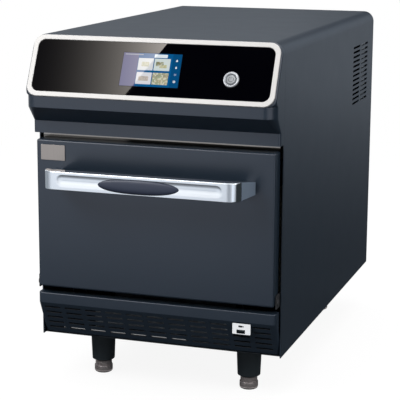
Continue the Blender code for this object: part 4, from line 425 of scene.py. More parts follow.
def loft(rows, caps=True, closed_rows=False, closed_loft=False):
    """A surface through rows of places, each as long as the next."""
    bm = bmesh.new()
    grid = [[bm.verts.new(place) for place in row] for row in rows]
    last = len(grid[0]) if closed_rows else len(grid[0]) - 1
    pairs = list(zip(grid, grid[1:]))
    if closed_loft:
        pairs.append((grid[-1], grid[0]))
    for upper, lower in pairs:
        for i in range(last):
            j = (i + 1) % len(upper)
            bm.faces.new((upper[i], upper[j], lower[j], lower[i]))
    if caps and not closed_loft:
        bm.faces.new(grid[0])
        bm.faces.new(list(reversed(grid[-1])))
    return from_bmesh(bm)


def cube(low, high):
    """A bmesh box between two corners."""
    bm = bmesh.new()
    bmesh.ops.create_cube(bm, size=1.0)
    bmesh.ops.scale(bm, vec=[b - a for a, b in zip(low, high)], verts=bm.verts)
    bmesh.ops.translate(bm, vec=[(a + b) / 2 for a, b in zip(low, high)], verts=bm.verts)
    return bm


def block(low, high, matrix=None):
    """A closed box between two corners."""
    return settle(from_bmesh(cube(low, high)), matrix)


def keep(obj, name, finish, body, stands_for=(), angle=35, even=True):
    """Names and smooths a finished piece, gives it its finish and hands it to its body."""
    obj.name = name
    obj.data.name = name
    obj.data.materials.clear()
    obj.data.materials.append(FINISHES[finish])
    obj.data.shade_smooth()
    obj.data.set_sharp_from_angle(angle=math.radians(angle))
    if even:
        step = obj.modifiers.new("normals", "WEIGHTED_NORMAL")
        step.keep_sharp = True
        step.weight = 50
    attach(obj, body)
    if stands_for:
        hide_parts(*stands_for)
    return obj


def second_finish(obj, finish, wanted):
    """Gives another finish to the faces that are wanted."""
    obj.data.materials.append(FINISHES[finish])
    for face in obj.data.polygons:
        if wanted(face):
            face.material_index = 1


def art(parts, matrix, name, finish, body):
    """Thin plates side by side in one mesh: each part is (outline, low, high, ink, dish)."""
    bm = bmesh.new()
    ink_layer = bm.loops.layers.float_color.new("ink")
    dish_layer = bm.loops.layers.float.new("dish")
    for outline, low, high, ink, dish in parts:
        bottom = [bm.verts.new((x, y, low)) for x, y in outline]
        top = [bm.verts.new((x, y, high)) for x, y in outline]
        faces = [bm.faces.new(top), bm.faces.new(list(reversed(bottom)))]
        for i in range(len(outline)):
            j = (i + 1) % len(outline)
            faces.append(bm.faces.new((bottom[i], bottom[j], top[j], top[i])))
        for face in faces:
            for corner in face.loops:
                corner[ink_layer] = (*ink, 1.0)
                corner[dish_layer] = dish
    keep(settle(from_bmesh(bm, weld=0), matrix), name, finish, body, angle=30, even=False)


# Node trees

def fill(tree, target, inputs):
    """Links or sets a node's inputs, given by name or by number."""
    for key, value in inputs.items():
        if isinstance(value, bpy.types.NodeSocket):
            tree.links.new(value, target.inputs[key])
        else:
            target.inputs[key].default_value = value


def add(tree, kind, inputs=None, **settings):
    """The outputs of a new node."""
    made = tree.nodes.new(kind)
    for key, value in settings.items():
        setattr(made, key, value)
    fill(tree, made, inputs or {})
    return made.outputs


def result(tree, kind, inputs=None, **settings):
    """The first output of a new node."""
    return add(tree, kind, inputs, **settings)[0]


def math_of(tree, operation, *values):
    """The result of a math node."""
    return result(tree, "ShaderNodeMath", dict(enumerate(values)), operation=operation)


def joined(tree, parts):
    """Several geometries in one."""
    made = tree.nodes.new("GeometryNodeJoinGeometry")
    for part in parts:
        tree.links.new(part, made.inputs[0])
    return made.outputs[0]


def realized(tree, instances, finish):
    """Real geometry with its finish."""
    real = result(tree, "GeometryNodeRealizeInstances", {"Geometry": instances})
    return result(tree, "GeometryNodeSetMaterial", {"Geometry": real, "Material": finish})


def group(name, kind, inputs, outputs, build):
    """A node group, built once: build takes the tree and its inputs and gives its outputs by name."""
    tree = bpy.data.node_groups.get(name)
    if tree:
        return tree
    tree = bpy.data.node_groups.new(name, kind)
    for direction, rows in (("INPUT", inputs), ("OUTPUT", outputs)):
        for label, value_kind, *default in rows:
            made = tree.interface.new_socket(
                name=label, in_out=direction, socket_type="NodeSocket" + value_kind)
            if default:
                made.default_value = default[0]
    add(tree, "NodeGroupOutput", build(tree, add(tree, "NodeGroupInput")))
    return tree


def run_tree(obj, tree, values):
    """Runs a geometry tree on the object with its named values and keeps the plain mesh."""
    step = obj.modifiers.new(tree.name, "NODES")
    step.node_group = tree
    for item in tree.interface.items_tree:
        if item.item_type == "SOCKET" and item.in_out == "INPUT" and item.name in values:
            step[item.identifier] = values[item.name]
    return settle(obj)


def slot_tree():
    """Slots in rows and columns, cut through a closed sheet."""
    def build(tree, given):
        def times(first, second):
            """The product of two values."""
            return math_of(tree, "MULTIPLY", first, second)

        grid = result(tree, "GeometryNodeMeshGrid", {
            "Size X": times(math_of(tree, "SUBTRACT", given["Columns"], 1), given["Column Pitch"]),
            "Size Y": times(math_of(tree, "SUBTRACT", given["Rows"], 1), given["Row Pitch"]),
            "Vertices X": given["Columns"], "Vertices Y": given["Rows"]})
        place = add(tree, "ShaderNodeSeparateXYZ", {0: result(tree, "GeometryNodeInputPosition")})
        limit = add(tree, "ShaderNodeSeparateXYZ", {0: given["Leave Out Beyond"]})
        next_column = math_of(tree, "ADD", limit["X"], given["Column Pitch"])
        in_column = times(math_of(tree, "GREATER_THAN", place["X"], limit["X"]),
                          math_of(tree, "LESS_THAN", place["X"], next_column))
        left_out = times(in_column, math_of(tree, "GREATER_THAN", place["Y"], limit["Y"]))
        points = result(tree, "GeometryNodeDeleteGeometry", {
            "Geometry": grid, "Selection": left_out}, domain="POINT")
        outline = result(tree, "GeometryNodeCurvePrimitiveQuadrilateral", {
            "Width": given["Slot Length"], "Height": given["Slot Height"]})
        outline = result(tree, "GeometryNodeFilletCurve", {
            "Curve": outline, "Count": 4, "Limit Radius": True,
            "Radius": times(given["Slot Height"], 0.48)}, mode="POLY")
        filled = result(tree, "GeometryNodeFillCurve", {"Curve": outline}, mode="NGONS")
        drop = result(tree, "ShaderNodeCombineXYZ", {"Z": times(given["Depth"], -0.5)})
        lowered = result(tree, "GeometryNodeTransform", {"Geometry": filled, "Translation": drop})
        raised = result(tree, "GeometryNodeExtrudeMesh", {
            "Mesh": lowered, "Offset Scale": given["Depth"], "Individual": False}, mode="FACES")
        flipped = result(tree, "GeometryNodeFlipFaces", {"Mesh": lowered})
        slot = result(tree, "GeometryNodeMergeByDistance", {
            "Geometry": joined(tree, (raised, flipped)), "Distance": WELD})
        slots = result(tree, "GeometryNodeInstanceOnPoints", {"Points": points, "Instance": slot})
        tools = result(tree, "GeometryNodeTransform", {
            "Geometry": result(tree, "GeometryNodeRealizeInstances", {"Geometry": slots}),
            "Translation": given["Middle"], "Rotation": given["Turn"]})
        pierced = result(tree, "GeometryNodeMeshBoolean", {
            "Mesh 1": given["Sheet"], "Mesh 2": tools}, operation="DIFFERENCE", solver="EXACT")
        return {"Sheet": realized(tree, pierced, given["Finish"])}

    return group("slotted_sheet", "GeometryNodeTree", [
        ("Sheet", "Geometry"), ("Middle", "Vector", (0, 0, 0)), ("Turn", "Vector", (0, 0, 0)),
        ("Columns", "Int", 2), ("Rows", "Int", 2), ("Column Pitch", "Float", 0.03),
        ("Row Pitch", "Float", 0.01), ("Slot Length", "Float", 0.02), ("Slot Height", "Float", 0.003),
        ("Depth", "Float", 0.01), ("Leave Out Beyond", "Vector", (9, 9, 9)), ("Finish", "Material")],
        [("Sheet", "Geometry")], build)


def screw_tree():
    """Domed screws with a crossed recess, one on each point."""
    def build(tree, given):
        radius, height, slit = given["Head Radius"], given["Head Height"], given["Recess Width"]

        def xyz(x, y, z):
            """A vector from its parts."""
            return result(tree, "ShaderNodeCombineXYZ", {"X": x, "Y": y, "Z": z})

        def share_of(value, share):
            """A value times a plain number."""
            return math_of(tree, "MULTIPLY", value, share)

        dome = result(tree, "GeometryNodeMeshUVSphere", {"Segments": 20, "Rings": 12, "Radius": 1.0})
        flattened = result(tree, "GeometryNodeTransform", {
            "Geometry": dome, "Scale": xyz(radius, radius, height)})
        long, wide = share_of(radius, 1.3), share_of(radius, 3)
        bars = []
        for x, y, tall, rise in ((long, slit, 1.0, 1.05), (slit, long, 1.0, 1.05), (wide, wide, 2.0, -1.0)):
            bar = result(tree, "GeometryNodeMeshCube", {"Size": xyz(x, y, share_of(height, tall))})
            bars.append(result(tree, "GeometryNodeTransform", {
                "Geometry": bar, "Translation": xyz(0.0, 0.0, share_of(height, rise))}))
        head = result(tree, "GeometryNodeMeshBoolean", {
            "Mesh 1": flattened, "Mesh 2": joined(tree, bars), "Self Intersection": True},
            operation="DIFFERENCE", solver="EXACT")
        spin = result(tree, "FunctionNodeRandomValue", {
            0: (0, 0, 0), 1: (0, 0, math.pi / 2), "Seed": given["Seed"]}, data_type="FLOAT_VECTOR")
        heads = result(tree, "GeometryNodeInstanceOnPoints", {
            "Points": given["Points"], "Instance": head, "Rotation": given["Turn"]})
        heads = result(tree, "GeometryNodeRotateInstances", {
            "Instances": heads, "Rotation": spin, "Local Space": True})
        return {"Screws": realized(tree, heads, given["Finish"])}

    return group("crossed_screws", "GeometryNodeTree", [
        ("Points", "Geometry"), ("Head Radius", "Float", 0.0035), ("Head Height", "Float", 0.0015),
        ("Recess Width", "Float", 0.0009), ("Turn", "Vector", (0, 0, 0)), ("Seed", "Int", 4),
        ("Finish", "Material")], [("Screws", "Geometry")], build)


def screws(places, tilt, size, finish, name, seed):
    """Screws at the places, their heads tilted by the angle about the X axis."""
    mesh = bpy.data.meshes.new(name)
    mesh.from_pydata([tuple(place) for place in places], [], [])
    obj = run_tree(linked(name, mesh), screw_tree(), {
        "Head Radius": size.screw_radius, "Head Height": size.screw_tall,
        "Recess Width": size.screw_radius / 4, "Turn": (tilt, 0, 0), "Seed": seed,
        "Finish": FINISHES[finish]})
    keep(obj, name, finish, "oven", angle=30, even=False)


# Shader groups

def object_place(tree):
    """The shaded place in its object's coordinates."""
    return add(tree, "ShaderNodeTexCoord")["Object"]


def attribute(tree, name):
    """The outputs of one of the mesh's own attributes."""
    return add(tree, "ShaderNodeAttribute", attribute_name=name)


def spread(tree, value, low, high, start=0.0, end=1.0, **settings):
    """A value that goes from low to high while the given one goes from start to end."""
    return result(tree, "ShaderNodeMapRange", {
        "Value": value, "From Min": start, "From Max": end, "To Min": low, "To Max": high}, **settings)


def share_along(tree, axis, start, end, low, high):
    """A value that goes from low to high between two places along an axis."""
    parted = add(tree, "ShaderNodeSeparateXYZ", {0: object_place(tree)})
    return spread(tree, parted[axis], low, high, start, end)


def noise(tree, vector, scale, detail=2.0, distortion=0.0):
    """Soft random values round 0.5."""
    return result(tree, "ShaderNodeTexNoise", {
        "Vector": vector, "Scale": scale, "Detail": detail, "Distortion": distortion})


def flakes(tree, scale):
    """Cells with a random colour each."""
    return add(tree, "ShaderNodeTexVoronoi", {"Vector": object_place(tree), "Scale": scale})["Color"]


def uneven(tree, value, change, base):
    """The base, changed as the value leaves 0.5."""
    return math_of(tree, "MULTIPLY_ADD", math_of(tree, "SUBTRACT", value, 0.5), change, base)


def scaled(tree, colour, share):
    """A colour or a place times a number."""
    return result(tree, "ShaderNodeVectorMath", {0: colour, "Scale": share}, operation="SCALE")


def mixed(tree, share, first, second):
    """A colour between two."""
    return add(tree, "ShaderNodeMix", {"Factor": share, "A": first, "B": second}, data_type="RGBA")["Result"]


def bump(tree, height, distance):
    """The normal of a surface whose height is given."""
    return result(tree, "ShaderNodeBump", {"Height": height, "Distance": distance})


def use_group(tree, source, values):
    """The outputs of a shader group that is placed with its named values."""
    return add(tree, "ShaderNodeGroup", values, node_tree=source)


SURFACE = [("Colour", "Color"), ("Roughness", "Float"), ("Height", "Float")]


def powder_coat_group():
    """A sprayed coat: slow cloudiness of the colour, and a fine orange-peel height."""
    def build(tree, given):
        place = object_place(tree)
        clouds = uneven(tree, noise(tree, place, 6.0), given["Cloudiness"], 1.0)
        patches = noise(tree, place, 23.0)
        return {"Colour": scaled(tree, given["Colour"], clouds),
                "Height": noise(tree, place, given["Grain Scale"]),
                "Roughness": uneven(tree, patches, given["Roughness Change"], given["Roughness"])}

    return group("powder_coat", "ShaderNodeTree", [
        ("Colour", "Color", (0.02, 0.03, 0.04, 1)), ("Cloudiness", "Float", 0.1),
        ("Grain Scale", "Float", 900.0), ("Roughness", "Float", 0.4),
        ("Roughness Change", "Float", 0.06)], SURFACE, build)


def grain_group():
    """Brushed or rolled grain that runs along one axis: the stretch is how fine it is across each axis."""
    def build(tree, given):
        stretched = result(tree, "ShaderNodeVectorMath", {
            0: object_place(tree), 1: given["Stretch"]}, operation="MULTIPLY")
        streaks = noise(tree, stretched, 1.0, 3.0)
        return {"Colour": scaled(tree, given["Colour"], uneven(tree, streaks, given["Contrast"], 1.0)),
                "Roughness": uneven(tree, streaks, given["Roughness Change"], given["Roughness"]),
                "Height": streaks}

    return group("metal_grain", "ShaderNodeTree", [
        ("Colour", "Color", (0.6, 0.6, 0.6, 1)), ("Stretch", "Vector", (1, 1, 1)), ("Contrast", "Float", 0.2),
        ("Roughness", "Float", 0.3), ("Roughness Change", "Float", 0.1)], SURFACE, build)


def smudge_group():
    """Faint wipe marks: a roughness that rises in small soft spots."""
    def build(tree, given):
        marks = noise(tree, object_place(tree), given["Scale"], 4.0, 0.6)
        soft = spread(tree, marks, 0.0, 1.0, 0.45, 0.75)
        return {"Roughness": math_of(tree, "MULTIPLY_ADD", soft, given["Amount"], given["Roughness"])}

    return group("wipe_marks", "ShaderNodeTree", [
        ("Roughness", "Float", 0.05), ("Amount", "Float", 0.08), ("Scale", "Float", 14.0)],
        [("Roughness", "Float")], build)


# Finishes

FINISHES = {}


def new_finish(name, constants=None):
    """A new material, its tree and its Principled shader with some constants set."""
    made = bpy.data.materials.new(name)
    made.use_nodes = True
    shader = made.node_tree.nodes["Principled BSDF"]
    fill(made.node_tree, shader, constants or {})
    return made, made.node_tree, shader


def surfaced(name, source, values, height, constants, tone_ramps=()):
    """A finish from a surface group, darkened along tone ramps; a tone ramp is what share_along takes, and
    the lightest one shows.
    """
    made, tree, shader = new_finish(name, constants)
    surface = use_group(tree, source, values)
    base = surface["Colour"]
    if tone_ramps:
        share = share_along(tree, *tone_ramps[0])
        for tone_ramp in tone_ramps[1:]:
            share = math_of(tree, "MAXIMUM", share, share_along(tree, *tone_ramp))
        base = scaled(tree, base, share)
    fill(tree, shader, {"Base Color": base, "Roughness": surface["Roughness"],
                        "Normal": bump(tree, surface["Height"], height)})
    return made


def coated(name, colour, roughness, cloudiness, grain, height, change=0.06, constants=None):
    """A sprayed or moulded surface."""
    return surfaced(name, powder_coat_group(), {
        "Colour": (*colour, 1), "Cloudiness": cloudiness, "Grain Scale": grain, "Roughness": roughness,
        "Roughness Change": change}, height, constants)


def grained(name, colour, roughness, stretch, contrast, change, metallic=1.0, height=0.00002,
            tone_ramps=(), sheen=0.0):
    """A rolled or brushed metal, or matted fibres."""
    return surfaced(name, grain_group(), {
        "Colour": (*colour, 1), "Stretch": stretch, "Contrast": contrast, "Roughness": roughness,
        "Roughness Change": change}, height, {"Metallic": metallic, "Sheen Weight": sheen}, tone_ramps)


def polished(name, colour, roughness, amount, scale, metallic, cloudiness):
    """A smooth surface with faint wipe marks."""
    made, tree, shader = new_finish(name, {"Metallic": metallic})
    coat = use_group(tree, powder_coat_group(), {"Colour": (*colour, 1), "Cloudiness": cloudiness})
    marks = use_group(tree, smudge_group(), {"Roughness": roughness, "Amount": amount, "Scale": scale})
    fill(tree, shader, {"Base Color": coat["Colour"], "Roughness": marks["Roughness"]})
    return made


def handle_finish(colour):
    """Chrome that is polished on top and underneath, and satin on its face and ends."""
    made, tree, shader = new_finish("chromed handle")
    coat = use_group(tree, powder_coat_group(), {"Colour": (*colour, 1), "Cloudiness": 0.03})
    cast = attribute(tree, "cast")["Fac"]
    tone = mixed(tree, cast, coat["Colour"], (0.30, 0.38, 0.49, 1))
    mirrored = add(tree, "ShaderNodeLightPath")["Is Glossy Ray"]
    marks = use_group(tree, smudge_group(), {"Roughness": 0.0, "Amount": 0.04, "Scale": 18.0})
    satin = spread(tree, attribute(tree, "satin")["Fac"], 0.07, 0.30)
    # In mirrored rays the handle's colour falls to a tenth: a painted dark reflection, so the door shows
    # shade round the handle in place of its lit image.
    fill(tree, shader, {"Base Color": scaled(tree, tone, spread(tree, mirrored, 1.0, 0.10)),
                        "Metallic": spread(tree, cast, 1.0, 0.35),
                        "Roughness": math_of(tree, "ADD", satin, marks["Roughness"])})
    return made


def zinc_finish(name, colour):
    """Galvanised sheet: flakes of slightly different brightness."""
    made, tree, shader = new_finish(name, {"Metallic": 1.0})
    parted = add(tree, "ShaderNodeSeparateColor", {0: flakes(tree, 160.0)})
    fill(tree, shader, {"Base Color": scaled(tree, colour, spread(tree, parted[0], 0.80, 1.12)),
                        "Roughness": spread(tree, parted[1], 0.34, 0.52)})
    return made


def circuit_finish():
    """A green board with lighter tracks."""
    made, tree, shader = new_finish("circuit board laminate")
    tracks = add(tree, "ShaderNodeTexBrick", {
        "Vector": object_place(tree), "Scale": 90.0, "Color1": (0.010, 0.110, 0.045, 1),
        "Color2": (0.014, 0.150, 0.060, 1), "Mortar": (0.30, 0.34, 0.16, 1), "Mortar Size": 0.035})
    fill(tree, shader, {"Base Color": tracks["Color"], "Roughness": spread(tree, tracks["Fac"], 0.35, 0.55)})
    return made


def iron_finish():
    """Stacked iron sheets, seen on edge."""
    made, tree, shader = new_finish("laminated core", {"Metallic": 0.7, "Roughness": 0.55})
    sheets = add(tree, "ShaderNodeTexWave", {"Vector": object_place(tree), "Scale": 300.0},
                 wave_type="BANDS", bands_direction="Y")["Fac"]
    fill(tree, shader, {"Base Color": mixed(tree, sheets, (0.06, 0.06, 0.065, 1), (0.17, 0.165, 0.16, 1)),
                        "Normal": bump(tree, sheets, 0.0002)})
    return made


def screen_finish():
    """The lit screen: each part's colour comes from its own attribute, and the pictures have small detail."""
    made, tree, shader = new_finish("lit screen", {
        "Base Color": (0.001, 0.001, 0.002, 1), "Emission Strength": 0.9})
    spots = result(tree, "ShaderNodeSeparateColor", {0: flakes(tree, 420.0)})
    ramp = tree.nodes.new("ShaderNodeValToRGB")
    fill(tree, ramp, {"Fac": spots})
    stops = ramp.color_ramp.elements
    stops[0].color = (0.030, 0.070, 0.030, 1)
    stops[1].color = (0.75, 0.72, 0.62, 1)
    for spot, colour in ((0.3, (0.36, 0.24, 0.07, 1)), (0.55, (0.20, 0.28, 0.10, 1)),
                         (0.75, (0.62, 0.55, 0.36, 1))):
        stops.new(spot).color = colour
    dish, ink = attribute(tree, "dish")["Fac"], attribute(tree, "ink")["Color"]
    picture = mixed(tree, dish, ink, ramp.outputs["Color"])
    marks = use_group(tree, smudge_group(), {"Roughness": 0.015, "Amount": 0.012, "Scale": 20.0})
    fill(tree, shader, {"Emission Color": picture, "Roughness": marks["Roughness"]})
    return made


def label_finish():
    """Printed film: each part's ink comes from its own attribute, and the film glows faintly in that colour,
    a painted light that brightens the pale plate.
    """
    made, tree, shader = new_finish("printed film", {
        "Coat Weight": 0.3, "Coat Roughness": 0.05, "Emission Strength": 0.24})
    film = use_group(tree, powder_coat_group(), {
        "Colour": attribute(tree, "ink")["Color"], "Cloudiness": 0.05, "Grain Scale": 1600.0,
        "Roughness": 0.35})
    fill(tree, shader, {"Base Color": film["Colour"], "Emission Color": film["Colour"],
                        "Roughness": film["Roughness"], "Normal": bump(tree, film["Height"], 0.00001)})
    return made


def make_finishes(colours):
    """Builds every finish once, under the record's names and a few of its own."""
    if FINISHES:
        return
    f = FINISHES
    # Each coat: name, colour, roughness, cloudiness, the grain's scale and height, the roughness's change
    f["anthracite_paint"] = coated("anthracite powder coat", colours.paint, 0.30, 0.16, 700.0, 0.00004, 0.05,
                                   {"Specular IOR Level": 0.76, "Specular Tint": (0.90, 0.91, 1.0, 1)})
    f["blackened"] = coated("blackened steel", (0.030, 0.031, 0.034), 0.45, 0.3, 400.0, 0.00005)
    f["dark_rubber"] = coated("dark rubber", (0.022, 0.022, 0.025), 0.62, 0.3, 1500.0, 0.00006)
    f["grip"] = coated("soft grip", colours.grip, 0.33, 0.15, 1800.0, 0.00002, 0.05)
    f["black_plastic"] = coated("black moulding", (0.023, 0.032, 0.039), 0.42, 0.2, 1200.0, 0.00004,
                                constants={"Specular IOR Level": 0.4})
    f["cream_ceramic"] = coated("ceramic plate", (0.66, 0.60, 0.49), 0.32, 0.25, 260.0, 0.00008, 0.12)
    # Each metal: name, colour, roughness, stretch of the grain, its contrast and the roughness's change
    f["stainless_steel"] = grained("stainless sheet", colours.steel, 0.30, (18, 900, 900), 0.22, 0.14)
    # The front frame's steel has a dark band under the hood's lip as painted shadow. Within that band it is
    # lighter towards its left end as a painted reflection, and below the band it is brightened to about plain
    # steel.
    f["shaded_front_frame"] = grained("front frame steel, painted shade", (0.31, 0.295, 0.28), 0.16, (18, 900, 900), 0.15, 0.06,
                             tone_ramps=(("Z", 0.4128, 0.4138, 0.05, 1.0), ("X", -0.045, -0.060, 0.0, 0.42),
                                     ("Z", 0.4085, 0.4078, 0.0, 1.6)))
    f["badge_metal"] = grained("badge metal", (0.38, 0.345, 0.325), 0.34, (700, 20, 20), 0.16, 0.1)
    f["brushed_aluminium"] = grained("anodised frame", colours.trim, 0.42, (14, 1400, 1400), 0.03, 0.03, 0.08)
    f["enamelled_copper"] = grained("enamelled copper", (0.50, 0.19, 0.06), 0.28, (60, 60, 1600), 0.7, 0.1,
                                    height=0.0002)
    # The foot metal is near black up to about 3 mm over the floor, and plain from about 4 mm up.
    f["foot_metal"] = grained("foot metal", (0.52, 0.47, 0.47), 0.34, (120, 120, 2400), 0.3, 0.12, 0.7,
                              tone_ramps=(("Z", 0.0028, 0.0038, 0.02, 1.0),))
    f["ring_metal"] = grained("button ring metal", (0.40, 0.415, 0.44), 0.30, (900, 40, 900), 0.12, 0.08, 0.7)
    f["cap_metal"] = grained("button cap metal", (0.27, 0.285, 0.30), 0.38, (900, 40, 900), 0.10, 0.08, 0.4)
    f["mineral_wool"] = grained("mineral wool batt", (0.56, 0.50, 0.36), 0.95, (240, 90, 300), 0.9, 0.05, 0.0,
                                0.0012, sheen=0.25)
    # Each smooth surface: name, colour, roughness, amount and scale of the marks, metallic and cloudiness
    f["satin_chrome"] = polished("chromed casting", colours.chrome, 0.10, 0.05, 14.0, 1.0, 0.04)
    f["black_glass"] = polished("black glass", (0.0008, 0.0008, 0.0020), 0.010, 0.012, 9.0, 0.0, 0.2)
    f["screen_glass"] = polished("screen glass", (0.004, 0.006, 0.009), 0.03, 0.05, 9.0, 0.0, 0.2)
    f["galvanised_steel"] = zinc_finish("galvanised sheet", colours.zinc)
    f["dull_zinc"] = zinc_finish("phosphated sheet", (0.050, 0.056, 0.064))
    f["handle_chrome"] = handle_finish(colours.chrome)
    f["circuit_board"] = circuit_finish()
    f["laminated_iron"] = iron_finish()
    f["screen_picture"] = screen_finish()
    f["printed_film"] = label_finish()


# Casing, hood and lower panel

def casing_outline(size, inset):
    """The casing's section from the left lower edge over the top, as (x, z) points."""
    half = size.case_width / 2 - inset
    radius = size.case_corner - inset
    bend = arc(-half + radius, size.case_height - inset - radius, radius, 180, 90, 18)
    return with_mirror([(-half, 0.0)] + bend)


def make_casing(size):
    """The painted casing: a bent sheet, open in front and behind, with vents in both sides."""
    outer = casing_outline(size, 0.0)
    inner = casing_outline(size, size.sheet)
    bm = bmesh.new()
    rows = [[bm.verts.new(at(x, y, z)) for x, z in outer + inner[::-1]] for y in (0.0, size.case_depth)]
    total = len(rows[0])
    for i in range(total):
        j = (i + 1) % total
        bm.faces.new((rows[0][i], rows[0][j], rows[1][j], rows[1][i]))
    for row in rows:
        for i in range(len(outer) - 1):
            bm.faces.new((row[i], row[i + 1], row[total - 2 - i], row[total - 1 - i]))
    middle_y = size.vent_start + size.vent_length / 2 + size.vent_pitch_y * (size.vent_columns - 1) / 2
    middle_z = size.vent_low + size.vent_pitch_z * (size.vent_rows - 1) / 2
    obj = run_tree(from_bmesh(bm), slot_tree(), {
        "Middle": at(0, middle_y, middle_z), "Turn": (math.pi / 2, 0, math.pi / 2),
        "Columns": size.vent_columns, "Rows": size.vent_rows, "Column Pitch": size.vent_pitch_y,
        "Row Pitch": size.vent_pitch_z, "Slot Length": size.vent_length, "Slot Height": size.vent_tall,
        "Depth": size.case_width + 4 * size.sheet, "Finish": FINISHES["anthracite_paint"]})
    keep(obj, "painted_casing", "anthracite_paint", "oven", ("outer_casing",), 25)


def make_vent_baffles(size):
    """Folded sheets behind the side vents: deep behind the first column and near behind the second."""
    sheet, near_gap, deep_gap = 0.0008, 0.0025, 0.0220
    lap_front, lap_below, lap_above = 0.012, 0.008, 0.012
    fold_gap, near_run, tail, near_band = 0.0017, 0.0495, 0.020, 0.005
    wall = size.case_width / 2 - size.sheet
    near, deep = wall - near_gap, wall - deep_gap
    start = size.vent_start - lap_front
    fold = size.vent_start + size.vent_pitch_y + fold_gap
    end = fold + near_run
    highest = size.vent_low + size.vent_pitch_z * (size.vent_rows - 1)
    chain = [(deep, start), (deep, fold), (near, fold), (near, end), (deep, end), (deep, end + tail)]
    heights = (size.vent_low - lap_below, highest + lap_above)
    for name, side in (("left", -1), ("right", 1)):
        rows = [[at(side * x, y, z) for x, y in chain] for z in heights]
        obj = thicken(loft(rows, caps=False), sheet, 0.0, False)
        keep(obj, "vent_baffle_" + name, "galvanised_steel", "oven")
        # The deep parts of each baffle take the dark phosphated sheet as painted shade, so the first column
        # of vents and the back end of the second read dark.
        second_finish(obj, "dull_zinc", lambda face: abs(face.center.x) < near - near_band)


def drawn_in(radius, run):
    """How far a round corner has drawn in, a run past its start."""
    run = min(max(run, 0.0), radius)
    return radius - math.sqrt(radius ** 2 - run ** 2)


def hood_corner(size, z):
    """The plan radius of the hood's corner at a height."""
    if z < size.hood_band_bottom:
        share = part_way(z, size.hood_lip_top, size.hood_band_bottom)
        return between(size.hood_lip_corner, size.hood_corner, share)
    run = (size.case_height - z) / math.cos(SLOPE)
    past_frame = run - (size.bezel_below_edge + size.bezel_height - size.bezel_corner)
    edge = (size.case_width - size.bezel_length) / 2 + 0.0005
    return min(edge + drawn_in(size.bezel_corner, past_frame), size.hood_corner)


def front_row(half, back, front, corner, z, steps):
    """One level of a sheet that runs from its left back edge round the front to the right one."""
    left = [(-half, back)] + arc(-half + corner, front + corner, corner, 180, 270, steps)
    return [at(x, y, z) for x, y in with_mirror(left)]


def make_hood(size):
    """The hood: one sheet lofted through levels whose corners change as it comes down."""
    top, reach, top_reach = size.case_height, size.hood_reach, size.hood_top_reach
    slope_bottom = top - (reach - top_reach) / math.tan(SLOPE)
    levels = fillet([
        (top, top_reach / 3), (top, top_reach), (slope_bottom, reach), (size.hood_band_bottom, reach),
        (size.hood_lip_top, size.hood_lip_reach), (size.hood_bottom, size.hood_lip_reach)],
        [size.hood_top_fold, size.hood_fold, size.hood_fold, size.hood_fold])
    extra = [top - size.case_corner + size.case_corner * math.sin(math.radians(a)) for a in range(0, 88, 8)]
    frame_end = top - (size.bezel_below_edge + size.bezel_height - size.bezel_corner) * math.cos(SLOPE)
    extra += [between(frame_end, slope_bottom, i / 12) for i in range(12)]
    rows = []
    for z, front in add_levels(levels, extra):
        half = size.case_width / 2 - drawn_in(size.case_corner, z - (top - size.case_corner))
        rows.append(front_row(half, -SEAT, -front, min(hood_corner(size, z), front), z, 12))
    obj = thicken(loft(rows), size.hood_wall)
    gap, deep = 0.0005, 0.01
    wide = size.display_width / 2 + gap
    tall = size.display_height / 2 + gap
    window = block((-wide, -tall, -deep), (wide, tall, deep), face_matrix(size, 0, -size.display_drop))
    cut(obj, window, rod(size.button_bore, deep, 48, face_matrix(size, size.button_x, -size.button_drop)))
    keep(obj, "painted_hood", "anthracite_paint", "oven", ("control_hood",), 30)


def on_panel(size, x, run):
    """A place on the lower panel's sloping face, a run down from its fold."""
    return at(x, -size.panel_reach + run * math.sin(SLOPE), size.panel_band_bottom - run * math.cos(SLOPE))


